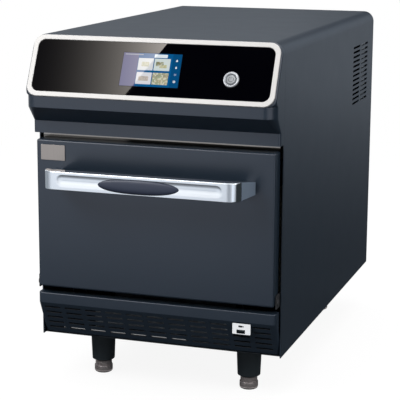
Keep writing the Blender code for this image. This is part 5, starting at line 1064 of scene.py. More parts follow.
def make_vent_panel(size):
    """The lower panel: a band, a sloping face with slots and round ends, and a rail behind the last row."""
    front, low, fold = -size.panel_reach, size.panel_low, size.panel_band_bottom
    low_y = front + (fold - low) * math.tan(SLOPE)
    knee, cheek = low + size.panel_flange / 2, fold - size.panel_cheek_drop
    top_lip, low_lip, top_radius, fold_radius, low_radius = 0.006, 0.003, 0.0015, 0.0030, 0.0010
    levels = fillet([(size.panel_top, front + top_lip), (size.panel_top, front), (fold, front), (low, low_y),
                     (low, low_y + low_lip)], [top_radius, fold_radius, low_radius])
    rows = []
    for z, y in add_levels(levels, (knee, cheek)):
        back = between(size.panel_flange, -size.panel_cheek_gap, part_way(z, knee, cheek))
        rows.append(front_row(size.panel_half, back, y, min(size.panel_corner, back - y - SEAT), z, 10))
    obj = thicken(loft(rows), size.panel_sheet)
    run = (fold - low) / math.cos(SLOPE)
    pitch = (run - size.slot_first - size.slot_last) / (size.slot_rows - 1)
    port_x = size.slot_pitch_x * (size.port_column - 1.5 - (size.slot_columns - 1) / 2)
    run_tree(obj, slot_tree(), {
        "Middle": on_panel(size, 0, size.slot_first + pitch * (size.slot_rows - 1) / 2),
        "Turn": (math.pi / 2 + SLOPE, 0, 0), "Columns": size.slot_columns, "Rows": size.slot_rows,
        "Column Pitch": size.slot_pitch_x, "Row Pitch": pitch, "Slot Length": size.slot_length,
        "Slot Height": size.slot_tall, "Depth": 5 * size.panel_sheet, "Finish": FINISHES["anthracite_paint"],
        "Leave Out Beyond": (port_x, pitch * 0.5, 0)})
    port_low, port_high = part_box("data_port")
    port_rim = Vector((0.006, 0, 0.002))
    cut(obj, block(port_low + port_rim, port_high - port_rim))
    keep(obj, "painted_vent_panel", "anthracite_paint", "oven", ("lower_grille",), 30)
    outward = Vector((0, -math.cos(SLOPE), -math.sin(SLOPE)))
    side, margin, wall_turn = size.slot_pitch_x * size.slot_columns / 2, 0.003, 0.5
    lowest, highest = at(0, 0, low + margin).z, at(0, 0, fold - margin).z

    def slot_wall(face):
        """Whether a face is a wall inside a slot."""
        inside = abs(face.center.x) < side and lowest < face.center.z < highest
        return inside and abs(face.normal.dot(outward)) < wall_turn

    # The walls inside the slots take the blackened finish as painted shade, so each slot reads as a dark
    # opening.
    second_finish(obj, "blackened", slot_wall)
    rail_x, rail_gap, rail_tilt = -0.0605, 0.0030, -8
    rail_half, rail_sheet, rail_rise = 0.1055, 0.0008, 0.0026
    centre = on_panel(size, rail_x, run - size.slot_last) - outward * (size.panel_sheet + rail_gap)
    rail = block((-rail_half, 0, -rail_rise), (rail_half, rail_sheet, rail_rise), turned(centre, rail_tilt))
    keep(rail, "filter_rail", "stainless_steel", "oven")


# Control face

def make_bezel(size):
    """The bright frame: loops that go up its outer side, over its rounded band and down its inner side."""
    edge, band, proud = size.bezel_edge, size.bezel_band, size.bezel_proud
    loops = [(0.0, SEAT), (0.0, proud - edge)]
    loops += arc(edge, proud - edge, edge, 180, 90, 5, first=1)
    loops += arc(band - edge, proud - edge, edge, 90, 0, 5)
    loops.append((band, SEAT))
    matrix = face_matrix(size)
    rows = []
    for inset, height in loops:
        radius = between(size.bezel_corner, size.bezel_inner_corner, inset / band)
        outline = rounded(size.bezel_length - 2 * inset, size.bezel_height - 2 * inset, radius, 16)
        rows.append([matrix @ Vector((x, y, height)) for x, y in outline])
    obj = loft(rows, closed_rows=True, closed_loft=True)
    keep(obj, "bright_frame", "brushed_aluminium", "oven", ("bezel_frame",), 40)


def make_screen(size, colours):
    """What the lit screen shows: a ground, a bar, four pictures, a label and four plain signs."""
    margin, layer_tall, first_layer = 0.0010, 0.00006, 0.00010
    wide, tall = size.display_width - margin, size.display_height - margin

    def spot(u, v):
        """A place on the screen from shares of its width and height, counted from its top left corner."""
        return (-wide / 2 + wide * u, tall / 2 - tall * v)

    def area(u0, u1, v0, v1, radius):
        """A rounded area between shares of the screen's width and height."""
        (x0, y0), (x1, y1) = spot(u0, v1), spot(u1, v0)
        return rounded(x1 - x0, y1 - y0, radius, 3, ((x0 + x1) / 2, (y0 + y1) / 2))

    low = SEAT + size.glass + 0.00003
    heights = [low] + [low + first_layer + layer_tall * i for i in range(3)]
    ground = tuple(colours.screen)
    deep = tuple(part * 0.72 for part in ground)
    white, grey = (0.80, 0.83, 0.86), (0.42, 0.50, 0.66)
    parts = [(rounded(wide, tall, 0.0004, 2), heights[0], heights[1], ground, 0.0)]
    # Each area: its sides as shares of the screen, its corner, layer, colour and share of small detail
    for *sides, radius, layer, ink, dish in (
            (0.0, 0.262, 0.0, 1.0, 0.0003, 1, (0.092, 0.095, 0.225), 0.0),
            (0.03, 0.34, 0.035, 0.060, 0.0002, 2, (0.36, 0.38, 0.46), 0.0),
            (0.85, 1.0, 0.0, 1.0, 0.0003, 1, deep, 0.0),
            (0.533, 0.755, 0.025, 0.125, 0.0006, 1, (0.78, 0.86, 0.92), 0.0),
            (0.27, 0.530, 0.150, 0.510, 0.0006, 1, (0.70, 0.72, 0.74), 0.0),
            (0.545, 0.815, 0.150, 0.510, 0.0006, 1, (0.66, 0.74, 0.72), 0.0),
            (0.27, 0.530, 0.575, 0.930, 0.0006, 1, (0.74, 0.74, 0.78), 0.0),
            (0.545, 0.815, 0.575, 0.930, 0.0006, 1, (0.62, 0.66, 0.56), 0.62),
            (0.575, 0.705, 0.245, 0.375, 0.0008, 2, (0.20, 0.26, 0.22), 0.55),
            (0.640, 0.765, 0.330, 0.430, 0.0008, 2, (0.62, 0.62, 0.40), 0.35),
            (0.330, 0.460, 0.260, 0.400, 0.0012, 2, (0.62, 0.62, 0.50), 0.22),
            (0.310, 0.480, 0.690, 0.830, 0.0012, 2, (0.60, 0.53, 0.50), 0.20)):
        parts.append((area(*sides, radius), heights[layer], heights[layer + 1], ink, dish))
    (x, bell), (_, drop), (_, bars), (_, cog) = [spot(0.925, v) for v in (0.19, 0.40, 0.61, 0.82)]
    signs = [([(x - 0.0019, bell - 0.0018), (x + 0.0019, bell - 0.0018), (x + 0.0009, bell + 0.0002),
               (x, bell + 0.0022), (x - 0.0011, bell + 0.0003)], white)]
    signs.append((arc(x, drop - 0.0006, 0.0014, 150, 390, 12) + [(x, drop + 0.0024)], white))
    for middle in (x - 0.0013, x, x + 0.0013):
        signs.append((rect(middle - 0.0003, middle + 0.0003, bars - 0.0016, bars + 0.0016), grey))
    signs.append((arc_band(0.0007, 0.0017, 0, 350, 24, (x, cog)), white))
    signs += [(ring_of(0.0004, 6, tooth), white) for tooth in ring_of(0.0019, 8, (x, cog))]
    parts += [(outline, heights[2], heights[3], ink, 0.0) for outline, ink in signs]
    matrix = face_matrix(size, 0, -size.display_drop)
    art(parts, matrix, "screen_picture", "screen_picture", "oven")


def make_button(size):
    """A turned ring and a dished cap with the common power sign."""
    top = SEAT + size.glass + SEAT
    crown = top + size.button_proud
    outer, cap = size.button_head, size.button_cap
    gap, edge, stem, ring_end, cap_end = 0.0003, 0.0014, 0.0098, -0.016, -0.0130
    matrix = face_matrix(size, size.button_x, -size.button_drop)
    ring = [(cap + gap, ring_end), (cap + gap, crown - 0.0014), (cap + 0.0013, crown - 0.0003),
            (cap + 0.0018, crown)]
    ring += arc(outer - edge, crown - edge, edge, 90, 0, 6)
    ring += [(outer, top + 0.0002), (outer - 0.0002, top), (stem, top), (stem, ring_end)]
    keep(lathe(ring, 72, matrix), "switch_ring", "ring_metal", "oven", ("button_ring",), 40)
    flat, dish = cap - 0.0013, 0.0003
    body = [(flat * i / 8, crown - dish + dish * (i / 8) ** 2) for i in range(9)]
    body += [(flat + 0.0003, crown - 0.0001), (cap - 0.0002, crown - 0.0013), (cap, crown - 0.0015),
             (cap, cap_end), (0, cap_end)]
    keep(lathe(body, 72, matrix), "switch_cap", "cap_metal", "button", ("power_button",), 40)
    low, high = crown - 0.0005, crown - 0.0001
    signs = (arc_band(0.0034, 0.0043, 125, 415, 40), rect(-0.00045, 0.00045, 0.0006, 0.0040))
    parts = [(outline, low, high, (0.050, 0.056, 0.062), 0.0) for outline in signs]
    art(parts, matrix, "power_sign", "printed_film", "button")


def make_port_label():
    """A plain pale plate round the data socket, with a dark rim and a small stick sign."""
    low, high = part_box("data_port")
    matrix = turned(((low.x + high.x) / 2, low.y, (low.z + high.z) / 2), 90)
    wide, tall = high.x - low.x, high.z - low.z
    pale, dark = (0.93, 0.95, 0.98), (0.012, 0.013, 0.015)
    socket, socket_wide, socket_tall = (-0.001, -0.0044), 0.0132, 0.0056
    # Each plate: name, slot, ink, inset, corner, room round the socket, the hole's corner, thickness, height
    for name, slot, ink, inset, corner, room, room_corner, thickness, height in (
            ("port_rim", "black_plastic", dark, 0.0003, 0.0011, 0.0, 0.0003, 0.00012, 0.00008),
            ("port_film", None, pale, 0.0012, 0.0008, 0.0006, 0.0004, 0.00008, 0.00020)):
        rim = rounded(wide - inset, tall - inset, corner, 5)
        hole = rounded(socket_wide + room, socket_tall + room, room_corner, 2, socket)
        obj = plate([rim, hole], thickness, matrix @ Matrix.Translation((0, 0, height)))
        for item in obj.data.color_attributes.new("ink", "FLOAT_COLOR", "CORNER").data:
            item.color = (*ink, 1.0)
        keep(obj, name, "printed_film", "oven", even=False)
    base, top, mark = 0.00024, 0.00030, 0.00034
    art([(rounded(0.0062, 0.0030, 0.0006, 3, (-0.0018, 0.0040)), base, top, dark, 0.0),
         (rect(0.0017, 0.0038, 0.0030, 0.0050), base, top, dark, 0.0),
         (rect(0.0022, 0.0028, 0.0044, 0.0047), top, mark, pale, 0.0),
         (rect(0.0022, 0.0028, 0.0033, 0.0036), top, mark, pale, 0.0)],
        matrix, "port_sign", "printed_film", "oven")


# Door and handle

def make_door(size):
    """The folded door skin, open at the back, bored for the hinge pins."""
    pin_before, pin_rise = 0.0120, 0.0055
    low = at(-size.door_half, -size.door_reach, size.door_bottom)
    high = at(size.door_half, 0, size.door_top)
    bm = cube(low, high)
    back = [face for face in bm.faces if face.calc_center_median().y > high.y - 1e-5]
    bmesh.ops.delete(bm, geom=back, context="FACES_ONLY")
    obj = from_bmesh(bm)
    bevel(obj, size.door_edge, 7)
    thicken(obj, size.sheet)
    pin = turned(at(0, -pin_before, size.door_bottom + pin_rise), 90, "Y")
    cut(obj, rod(size.door_pin, size.door_half + 0.01, 24, pin))
    keep(obj, "painted_door", "anthracite_paint", "door", ("door_skin",), 30)


def make_badge():
    """A plain plate, left blank."""
    low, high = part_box("badge_plate")
    wide, thick, tall = high - low
    corner, edge = 0.0010, 0.0002
    obj = plate([rounded(wide, tall, corner, 5)], thick, turned((low + high) / 2, 90), edge)
    keep(obj, "badge_blank", "badge_metal", "door", ("badge_plate",), 30)


def handle_stations(size):
    """Outer and inner plan points along the handle, from its right foot to its left."""
    foot, front = -size.door_reach - SEAT, -size.handle_reach
    leg_steps, bend_steps, bar_steps = 12, 14, 190
    lines = []
    for inset, face, corner in ((0.0, front, size.handle_corner),
                                (size.handle_leg, front + size.handle_bar, size.handle_corner / 2)):
        half, foot_half = size.handle_half - inset, size.handle_foot_half - inset
        side = [(between(foot_half, half, i / leg_steps), between(foot, face + corner, i / leg_steps))
                for i in range(leg_steps)]
        side += arc(half - corner, face + corner, corner, 0, -90, bend_steps)
        bar = [((half - corner) * (1 - 2 * i / bar_steps), face) for i in range(1, bar_steps)]
        lines.append(side + bar + with_mirror(side)[len(side):])
    return zip(*lines)


def channel_depth(size, x, z):
    """How deep the recess in the bar is at a place on its face."""
    radius = size.channel_tall / 2
    rise = z - (size.handle_bottom + size.handle_tall / 2 + size.channel_rise)
    beyond = max(abs(x) - (size.channel_half - radius), 0.0)
    share = max(1 - math.hypot(beyond, rise) / radius, 0.0)
    cove = 1 - (1 - share) ** 3
    return size.channel_depth * between(share, cove, part_way(rise / radius, -0.5, 0.5))


def make_handle(size):
    """The cast handle: sections swept along its plan, with the recess in the bar's face."""
    low, r = size.handle_bottom, size.handle_edge
    foot, face_y = -size.door_reach, -size.handle_reach
    knee = face_y + size.handle_corner

    def top_at(y):
        """The height of the handle's top at a depth."""
        return low + size.handle_tall - size.handle_foot_drop * part_way(y, knee, foot)

    rows = []
    for outer, inner in handle_stations(size):
        run = Vector(inner) - Vector(outer)
        span, on_bar = run.length, outer[1] < face_y + 1e-6
        front_top, back_top = top_at(outer[1]), top_at(inner[1])
        ring = [(0.0, between(low + r, front_top - r, i / 48)) for i in range(49)]
        ring += arc(r, front_top - r, r, 180, 90, 5, first=1)
        ring += [(between(r, span - r, i / 5), between(front_top, back_top, i / 5)) for i in range(1, 5)]
        ring += arc(span - r, back_top - r, r, 90, 0, 5)
        ring += [(span, between(back_top - r, low + r, i / 6)) for i in range(1, 6)]
        ring += arc(span - r, low + r, r, 0, -90, 5)
        ring += [(between(span - r, r, i / 5), low) for i in range(1, 5)]
        ring += arc(r, low + r, r, 270, 180, 5)[:-1]
        row = []
        for t, z in ring:
            deep = channel_depth(size, outer[0], z) if on_bar and t < 1e-9 else 0.0
            x, y = Vector(outer) + run * (t / span)
            row.append(at(x, y + deep, z))
        rows.append(row)
    obj = loft(rows, closed_rows=True)
    matrix = turned(at(0, face_y, low + size.handle_tall / 2 - size.grip_drop), 90)
    outline = grip_outline(size.grip_half + size.grip_gap, size.grip_tall + 2 * size.grip_gap, 64)
    cut(obj, plate([outline], 2 * size.grip_pocket, matrix))
    satin = obj.data.attributes.new("satin", "FLOAT", "FACE")
    cast = obj.data.attributes.new("cast", "FLOAT", "FACE")
    leg_start = at(0, knee, 0).y - 0.001
    for face in obj.data.polygons:
        side = abs(face.normal.x) > 0.95 and face.center.y > leg_start
        upright = abs(face.normal.y) > 0.90 and abs(face.normal.z) <= 0.5
        satin.data[face.index].value = float(side or upright)
        cast.data[face.index].value = float(side)
    keep(obj, "cast_handle", "handle_chrome", "door", ("door_handle",), 55)


def grip_outline(half, tall, steps):
    """A long flat oval as points anticlockwise from its right tip."""
    points = []
    for i in range(2 * steps):
        x = half * math.cos(math.pi * i / steps)
        rise = (1 - abs(x / half) ** 2.4) ** 0.52 if abs(x) < half else 0.0
        points.append((x, tall / 2 * rise * (1 if i < steps else -1)))
    return points


def make_grip(size):
    """The inset grip: an oval whose face is crowned."""
    middle = size.handle_bottom + size.handle_tall / 2 - size.grip_drop
    floor = -size.handle_reach + size.grip_pocket - SEAT
    crown = -size.handle_reach - size.grip_crown
    rows = []
    # Each level: its share of the outline, and its share of the way from the floor to the crown
    for share, height in ((1.0, 0.0), (1.0, 0.50), (0.985, 0.58), (0.95, 0.66), (0.90, 0.73), (0.82, 0.80),
                          (0.72, 0.865), (0.58, 0.925), (0.42, 0.967), (0.24, 0.992), (0.06, 1.0)):
        outline = grip_outline(size.grip_half * share, size.grip_tall * share, 56)
        rows.append([at(x, between(floor, crown, height), middle + z) for x, z in outline])
    keep(loft(rows, closed_rows=True), "grip_insert", "grip", "door", ("handle_grip",), 40)


# Legs

def cup_profile(low, high, radius):
    """A cup with a rim under the casing, a tapered wall, a rounded lower edge and a bore."""
    edge, collar, bore, bore_deep, chamfer = 0.0012, 0.0036, 0.0063, 0.0470, 0.0006
    rim, step, taper = 0.0030, 0.0008, 0.0030
    bottom = radius - taper
    profile = [(0, high), (radius - chamfer, high), (radius, high - chamfer), (radius - 0.0001, high - rim)]
    profile += [(between(radius - step, bottom, i / 6), between(high - collar, low + edge, i / 6))
                for i in range(7)]
    profile += arc(bottom - edge, low + edge, edge, 0, -90, 5, first=1)
    end = low + bore_deep
    return profile + [(bore + 0.0015, low), (bore, low + 0.0004), (bore, end), (0, end)]


def foot_profile(top, cup_low, base):
    """A foot with a threaded stem, a grooved neck below the cup and a round base."""
    stem, thread, turns = 0.0060, 0.0006, 24
    neck, neck_top = base - 0.0013, cup_low - 0.0024
    groove, groove_pitch, grooves = 0.0005, 0.0018, 3
    base_top, chamfer, plain = 0.0125, 0.0008, 0.0012
    profile = [(0, top), (stem - chamfer, top), (stem, top - chamfer)]
    start = top - plain
    pitch = (start - neck_top) / turns
    for i in range(turns):
        profile += [(stem, start - pitch * i), (stem - thread, start - pitch * (i + 0.5))]
    profile += [(stem, neck_top + 0.0001), (neck - 0.0010, neck_top), (neck, neck_top - 0.0010)]
    for i in range(grooves):
        z = neck_top - groove_pitch * (i + 1)
        profile += [(neck, z), (neck - groove, z - 0.0003), (neck - groove, z - 0.0006), (neck, z - 0.0009)]
    return profile + [
        (neck, base_top + 0.0005), (neck - 0.0006, base_top + 0.0002), (neck - 0.0006, base_top),
        (base - 0.0004, base_top - 0.0003), (base, base_top - 0.0010), (base, 0.0030),
        (base - 0.0004, 0.0018), (base - 0.0012, 0.0008), (base - 0.0026, 0.0), (0, 0)]


def make_legs():
    """Tapered cups and their turned levelling feet."""
    for place in ("front_left", "front_right", "rear_left", "rear_right"):
        low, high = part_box("leg_cup_" + place)
        foot_low, foot_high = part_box("leg_foot_" + place)
        matrix = Matrix.Translation(((low.x + high.x) / 2, (low.y + high.y) / 2, 0))
        cup = lathe(cup_profile(low.z, high.z, (high.x - low.x) / 2), 64, matrix)
        keep(cup, "cup_" + place, "black_plastic", "oven", ("leg_cup_" + place,), 40)
        piece = "foot_" + place
        foot = lathe(foot_profile(foot_high.z, low.z, (foot_high.x - foot_low.x) / 2), 64, matrix)
        keep(foot, piece, "foot_metal", piece, ("leg_foot_" + place,), 30)


# Back and inside

def make_screws(size):
    """Screws on the back panel, at the fan and round the return grille."""
    inset, fan_inset, grille_inset = 0.010, 0.006, 0.012
    low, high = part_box("rear_panel")
    side_shares, middle_places = (0.03, 0.27, 0.5, 0.73, 0.94), (-0.09, 0.0, 0.09)
    places = [(x, high.y, between(low.z, high.z, share))
              for x in (low.x + inset, high.x - inset) for share in side_shares]
    places += [(x, high.y, z) for x in middle_places for z in (high.z - inset, low.z + inset)]
    fan_low, fan_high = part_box("fan_frame")
    places += [(x, high.y, z) for x in (fan_low.x + fan_inset, fan_high.x - fan_inset)
               for z in (fan_low.z + fan_inset, fan_high.z - fan_inset)]
    screws(places, -math.pi / 2, size, "galvanised_steel", "back_screws", 7)
    low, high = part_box("return_grille")
    sides = (low.x + grille_inset, high.x - grille_inset)
    places = [(x, low.y, z) for x in sides for z in (low.z + grille_inset, high.z - grille_inset)]
    places += [(x, low.y, (low.z + high.z) / 2) for x in sides]
    screws(places, math.pi / 2, size, "stainless_steel", "grille_screws", 9)


def make_gland():
    """The cable gland: a bored nut with a domed end, a neck and a flange on the back panel."""
    low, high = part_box("cable_gland")
    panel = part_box("rear_panel")[1].y
    radius, reach, inner = (high.x - low.x) / 2, high.y - panel, low.y - panel
    bore, stem, dome, chamfer, mouth = 0.0048, 0.0090, 0.005, 0.0006, 0.0008
    profile = [(bore, inner), (bore, reach - 0.001), (bore + mouth, reach)]
    profile += [(radius * (0.60 + 0.25 * x), reach - dome + dome * y) for x, y in arc(0, 0, 1, 90, 0, 6)]
    profile += [(radius * 0.85, reach * 0.38), (radius - chamfer, reach * 0.36), (radius, reach * 0.33),
                (radius, SEAT + chamfer), (radius - chamfer, SEAT), (stem, SEAT), (stem, inner)]
    matrix = turned(((low.x + high.x) / 2, panel, (low.z + high.z) / 2), -90)
    nut = lathe(profile, 48, matrix)
    keep(nut, "gland_nut", "black_plastic", "oven", ("cable_gland",))


def record_slot(node):
    """The name of the material that the record gives a node."""
    return frame["nodes"][node].material_slots[0].material.name.split(".")[0]


SMOOTH_NODES = {"wire_rack": "rack_grid", "tubular_heater": "heater_loop", "blower_wheel": "fan_wheel",
                "blower_motor": "motor_can", "rack_rail_left": "rail_left", "rack_rail_right": "rail_right"}
# The base pan takes the dark phosphated sheet in place of its galvanised finish: painted shade along the
# front edge that shows under the lower panel.
SPECIAL_FINISHES = {
    "front_frame": "shaded_front_frame", "hinge_bracket_left": "blackened", "hinge_bracket_right": "blackened",
    "hinge_block_left": "blackened", "hinge_block_right": "blackened", "base_pan": "dull_zinc",
    "wave_box": "dull_zinc", "cavity_support_left": "dull_zinc", "cavity_support_right": "dull_zinc"}


def dress_nodes():
    """Gives every node that still shows its procedural finish, and the round ones a smooth copy."""
    for node, name in SMOOTH_NODES.items():
        obj = object_of(welded(frame["nodes"][node].data, 0.3))
        slot = record_slot(node)
        keep(obj, name, slot, frame["nodes"][node]["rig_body"], (node,), 40)
    for node, obj in frame["nodes"].items():
        finish = FINISHES[SPECIAL_FINISHES.get(node) or record_slot(node)]
        for place in obj.material_slots:
            place.material = finish


# Studio

def emitter(name, colour, strength, bend=1.0):
    """A card's material; its strength may be (axis, start, end, strength at each), bent by a power."""
    made = bpy.data.materials.new(name)
    made.use_nodes = True
    tree = made.node_tree
    tree.nodes.clear()
    if isinstance(strength, tuple):
        axis, start, end, dim, bright = strength
        share = math_of(tree, "POWER", share_along(tree, axis, start, end, 0.0, 1.0), bend)
        strength = spread(tree, share, dim, bright)
    light = result(tree, "ShaderNodeEmission", {"Color": (*colour, 1), "Strength": strength})
    add(tree, "ShaderNodeOutputMaterial", {"Surface": light})
    return made


def stage_sheet(name, corners, material):
    """A flat piece of the stage."""
    mesh = bpy.data.meshes.new(name)
    mesh.from_pydata([tuple(corner) for corner in corners], [], [tuple(range(len(corners)))])
    mesh.materials.append(material)
    obj = linked(name, mesh)
    return obj


def card(name, corners, material):
    """A flat card that only reflections see."""
    obj = stage_sheet(name, corners, material)
    obj.visible_camera = False
    obj.visible_diffuse = False
    obj.visible_shadow = False
    obj.visible_transmission = False
    obj.visible_volume_scatter = False


def rectangle(low, high):
    """The corners of a level or upright rectangle between two opposite ones."""
    (x0, y0, z0), (x1, y1, z1) = low, high
    if z0 == z1:
        return [(x0, y0, z0), (x1, y0, z0), (x1, y1, z0), (x0, y1, z0)]
    return [(x0, y0, z0), (x1, y1, z0), (x1, y1, z1), (x0, y0, z1)]


def seen_ray(tree):
    """1 for rays from the camera, and for mirrored and refracted ones."""
    path = add(tree, "ShaderNodeLightPath")
    first = math_of(tree, "MAXIMUM", path["Is Camera Ray"], path["Is Glossy Ray"])
    return math_of(tree, "MAXIMUM", first, path["Is Transmission Ray"])


def make_floor(colours):
    """A matt floor that glows white to the camera, fully so from some way off the oven."""
    half = 14
    made, tree, shader = new_finish("studio floor", {
        "Base Color": (*colours.floor, 1), "Roughness": 0.9, "Specular IOR Level": 0.0})
    seen = seen_ray(tree)
    glow = result(tree, "ShaderNodeEmission", {"Strength": math_of(tree, "MULTIPLY", seen, 0.90)})
    near = result(tree, "ShaderNodeAddShader", {0: shader.outputs[0], 1: glow})
    far = result(tree, "ShaderNodeEmission", {"Strength": seen})
    away = add(tree, "ShaderNodeVectorMath", {0: object_place(tree)}, operation="LENGTH")["Value"]
    share = spread(tree, away, 0.0, 1.0, 0.7, 2.2, interpolation_type="SMOOTHSTEP")
    surface = result(tree, "ShaderNodeMixShader", {"Fac": share, 1: near, 2: far})
    fill(tree, tree.nodes["Material Output"], {"Surface": surface})
    stage_sheet("studio_floor", rectangle((-half, -half, 0), (half, half, 0)), made)


def make_world():
    """A white world, dimmer as a light than it looks."""
    world = bpy.data.worlds.new("studio")
    world.use_nodes = True
    tree = world.node_tree
    fill(tree, tree.nodes["Background"], {
        "Color": (1.0, 1.0, 1.0, 1), "Strength": spread(tree, seen_ray(tree), 0.55, 1.0)})
    bpy.context.scene.world = world


def make_lamp(name, place, target, width, height, power):
    """A soft rectangular lamp that points at its target."""
    data = bpy.data.lights.new(name, "AREA")
    data.shape = "RECTANGLE"
    data.size = width
    data.size_y = height
    data.energy = power
    lamp = linked(name, data)
    lamp.location = place
    lamp.rotation_euler = (Vector(target) - Vector(place)).to_track_quat("-Z", "Y").to_euler()


CAMERA_PLACE = Vector((0.743, -2.3004, 0.777))


def make_camera():
    """The camera of the photograph."""
    azimuth, elevation, roll = math.radians(18.48), math.radians(12.00), math.radians(0.29)
    level = math.cos(elevation)
    back = Vector((math.sin(azimuth) * level, -math.cos(azimuth) * level, math.sin(elevation)))
    right = Vector((math.cos(azimuth), math.sin(azimuth), 0))
    up = back.cross(right)
    across = right * math.cos(roll) + up * math.sin(roll)
    upright = up * math.cos(roll) - right * math.sin(roll)
    data = bpy.data.cameras.new("photo_camera")
    data.lens = 126.27
    data.sensor_width = 36.0
    data.clip_end = 60.0
    camera = linked("photo_camera", data)
    turn = Matrix((across, upright, back)).transposed().to_4x4()
    camera.matrix_world = Matrix.Translation(CAMERA_PLACE) @ turn
    bpy.context.scene.camera = camera


def mirrored_place(size, u, v, far):
    """Where the view of a place on the glass goes after it is mirrored there, a given way off."""
    matrix = face_matrix(size)
    place = matrix @ Vector((u, v, SEAT + size.glass))
    normal = (matrix.to_3x3() @ Vector((0, 0, 1))).normalized()
    view = (place - CAMERA_PLACE).normalized()
    return place + view.reflect(normal) * far


def make_cards(size):
    """Cards that shape what the gloss shows: a soft diagonal on the glass, dark beside it, grey behind."""
    tall, wide = size.bezel_height / 2, size.bezel_length / 2
    glare_off, flag_off, beyond = 1.6, 1.9, 0.25
    top_edge = mirrored_place(size, 0.0247, tall, glare_off)
    low_edge = mirrored_place(size, -0.0403, -tall, glare_off)
    top_far = mirrored_place(size, -wide * 1.15, tall, glare_off)
    low_far = mirrored_place(size, -wide * 1.15, -tall, glare_off)
    lift = (top_edge - low_edge) * beyond
    far_lift = (top_far - low_far) * beyond
    card("glare_card", [top_edge + lift, top_far + far_lift, low_far - far_lift, low_edge - lift],
         emitter("glare card", (1.0, 0.93, 0.86), ("X", low_far.x, top_edge.x, 0.10, 9.6), 3.1))
    flag = rect(wide * 1.6, -wide * 1.6, tall * 2.2, -tall * 1.6)
    corners = [mirrored_place(size, u, v, flag_off) for u, v in flag]
    card("glass_flag", corners, emitter("black flag", (0, 0, 0), 0.0))
    left = emitter("left wall", (0.86, 0.93, 1.0), 0.36)
    # Each card: its name, two opposite corners and its material
    for name, low, high, material in (
            ("back_card", (-3, 3.2, 0.0), (0.55, 3.2, 2.4),
             emitter("grey card", (0.92, 0.96, 1.0), ("X", -0.72, -0.20, 0.21, 0.07))),
            ("far_right_card", (0.55, 3.2, 0.0), (3, 3.2, 2.4),
             emitter("pale card", (0.84, 0.93, 1.04), ("Z", 0.0, 1.0, 0.36, 0.42))),
            ("front_apron", (-2.2, -2.9, 0.004), (2.2, 0.36, 0.004),
             emitter("front apron", (0.91, 0.96, 1.03), ("Y", -0.5, -1.45, 0.04, 0.93), 1.4)),
            ("front_post", (-0.05, -1.37, 0.0), (0.62, -1.37, 0.7),
             emitter("dark post", (0.86, 0.94, 1.05), 0.24)),
            ("right_post", (1.10, -0.60, 0.0), (1.10, 1.20, 0.8),
             emitter("dim post", (0.8, 0.95, 1.0), 0.035)),
            ("left_wall", (-2.25, -2.9, 0.0), (-2.25, 0.6, 1.8), left),
            ("left_carpet", (-2.2, -0.75, 0.006), (-0.62, 3.2, 0.006), left),
            ("right_wall", (2.9, -0.4, 0.0), (2.9, 3.2, 2.6),
             emitter("right wall", (0.84, 0.93, 1.04), 0.06)),
            ("side_flag", (0.21, -0.35, 0.003), (3.0, 3.2, 0.003),
             emitter("dark carpet", (0.84, 0.93, 1.04), ("Y", 0.6, 2.9, 0.05, 0.23), 1.4))):
        card(name, rectangle(low, high), material)


# Operators

def settings(context):
    """The sizes and the colours, once the finishes are there."""
    make_finishes(context.scene.oven_colours)
    return context.scene.oven_sizes, context.scene.oven_colours


class OVEN_OT_casing(bpy.types.Operator):
    """Builds the painted casing with its side vents"""
    bl_idname = "oven.casing"
    bl_label = "Casing"

    def execute(self, context):
        size, _ = settings(context)
        make_casing(size)
        make_vent_baffles(size)
        return {"FINISHED"}


class OVEN_OT_hood(bpy.types.Operator):
    """Builds the lofted hood over the door"""
    bl_idname = "oven.hood"
    bl_label = "Control hood"

    def execute(self, context):
        size, _ = settings(context)
        make_hood(size)
        return {"FINISHED"}


class OVEN_OT_control_face(bpy.types.Operator):
    """Builds the bright frame, what the screen shows and the power button"""
    bl_idname = "oven.control_face"
    bl_label = "Control face"

    def execute(self, context):
        size, colours = settings(context)
        make_bezel(size)
        make_screen(size, colours)
        make_button(size)
        return {"FINISHED"}


class OVEN_OT_door(bpy.types.Operator):
    """Builds the door skin and its blank badge plate"""
    bl_idname = "oven.door"
    bl_label = "Door"

    def execute(self, context):
        size, _ = settings(context)
        make_door(size)
        make_badge()
        return {"FINISHED"}


class OVEN_OT_handle(bpy.types.Operator):
    """Builds the cast handle and its grip"""
    bl_idname = "oven.handle"
    bl_label = "Handle"

    def execute(self, context):
        size, _ = settings(context)
        make_handle(size)
        make_grip(size)
        return {"FINISHED"}


class OVEN_OT_vent_panel(bpy.types.Operator):
    """Builds the lower panel with its slots, and the data port's plate"""
    bl_idname = "oven.vent_panel"
    bl_label = "Lower vent panel"

    def execute(self, context):
        size, _ = settings(context)
        make_vent_panel(size)
        make_port_label()
        return {"FINISHED"}


class OVEN_OT_legs(bpy.types.Operator):
    """Builds the cups and levelling feet"""
    bl_idname = "oven.legs"
    bl_label = "Legs"

    def execute(self, context):
        settings(context)
        make_legs()
        return {"FINISHED"}


class OVEN_OT_back(bpy.types.Operator):
    """Builds the screws and the cable gland"""
    bl_idname = "oven.back"
    bl_label = "Back and screws"

    def execute(self, context):
        size, _ = settings(context)
        make_screws(size)
        make_gland()
        return {"FINISHED"}


class OVEN_OT_inner_parts(bpy.types.Operator):
    """Gives the pieces that stay as they are their finishes"""
    bl_idname = "oven.inner_parts"
    bl_label = "Inner parts"

    def execute(self, context):
        settings(context)
        dress_nodes()
        return {"FINISHED"}


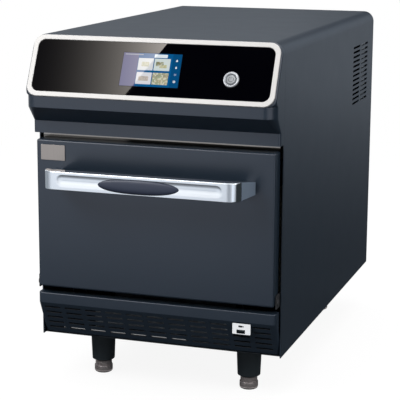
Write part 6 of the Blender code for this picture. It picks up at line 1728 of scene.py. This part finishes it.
class OVEN_OT_studio(bpy.types.Operator):
    """Builds the floor, lights, cards and camera"""
    bl_idname = "oven.studio"
    bl_label = "Studio"

    def execute(self, context):
        size, colours = settings(context)
        make_floor(colours)
        make_world()
        make_lamp("key_lamp", (-1.5, -2.2, 2.3), (0, -0.1, 0.3), width=1.8, height=1.4, power=46)
        make_lamp("top_lamp", (0.2, 0.3, 2.6), (0, 0.0, 0.4), width=2.0, height=2.0, power=22)
        make_lamp("side_lamp", (2.4, -0.9, 1.5), (0.1, 0, 0.35), width=1.2, height=1.6, power=16)
        make_cards(size)
        make_camera()
        context.scene.view_settings.view_transform = "Standard"
        return {"FINISHED"}


class OVEN_PT_panel(bpy.types.Panel):
    """Lists the pieces and their settings"""
    bl_idname = "OVEN_PT_panel"
    bl_label = "Speed Oven"
    bl_space_type = "VIEW_3D"
    bl_region_type = "UI"
    bl_category = "Speed Oven"

    def draw(self, context):
        layout = self.layout
        for operator in OPERATORS:
            layout.operator(operator.bl_idname)
        for values in (context.scene.oven_colours, context.scene.oven_sizes):
            box = layout.box()
            for name in values.bl_rna.properties.keys():
                if name not in ("rna_type", "name"):
                    box.prop(values, name)


OPERATORS = (OVEN_OT_casing, OVEN_OT_hood, OVEN_OT_control_face, OVEN_OT_door, OVEN_OT_handle,
             OVEN_OT_vent_panel, OVEN_OT_legs, OVEN_OT_back, OVEN_OT_inner_parts, OVEN_OT_studio)
CLASSES = (OvenSizes, OvenColours) + OPERATORS + (OVEN_PT_panel,)


def register():
    """Adds the classes and the scene's settings."""
    for item in CLASSES:
        bpy.utils.register_class(item)
    bpy.types.Scene.oven_sizes = bpy.props.PointerProperty(type=OvenSizes)
    bpy.types.Scene.oven_colours = bpy.props.PointerProperty(type=OvenColours)


def unregister():
    """Takes the settings and the classes out again."""
    del bpy.types.Scene.oven_colours
    del bpy.types.Scene.oven_sizes
    for item in reversed(CLASSES):
        bpy.utils.unregister_class(item)


def main():
    """Builds everything."""
    register()
    bpy.ops.oven.casing()
    bpy.ops.oven.hood()
    bpy.ops.oven.control_face()
    bpy.ops.oven.door()
    bpy.ops.oven.handle()
    bpy.ops.oven.vent_panel()
    bpy.ops.oven.legs()
    bpy.ops.oven.back()
    bpy.ops.oven.inner_parts()
    bpy.ops.oven.studio()


if __name__ == "__main__":
    main()
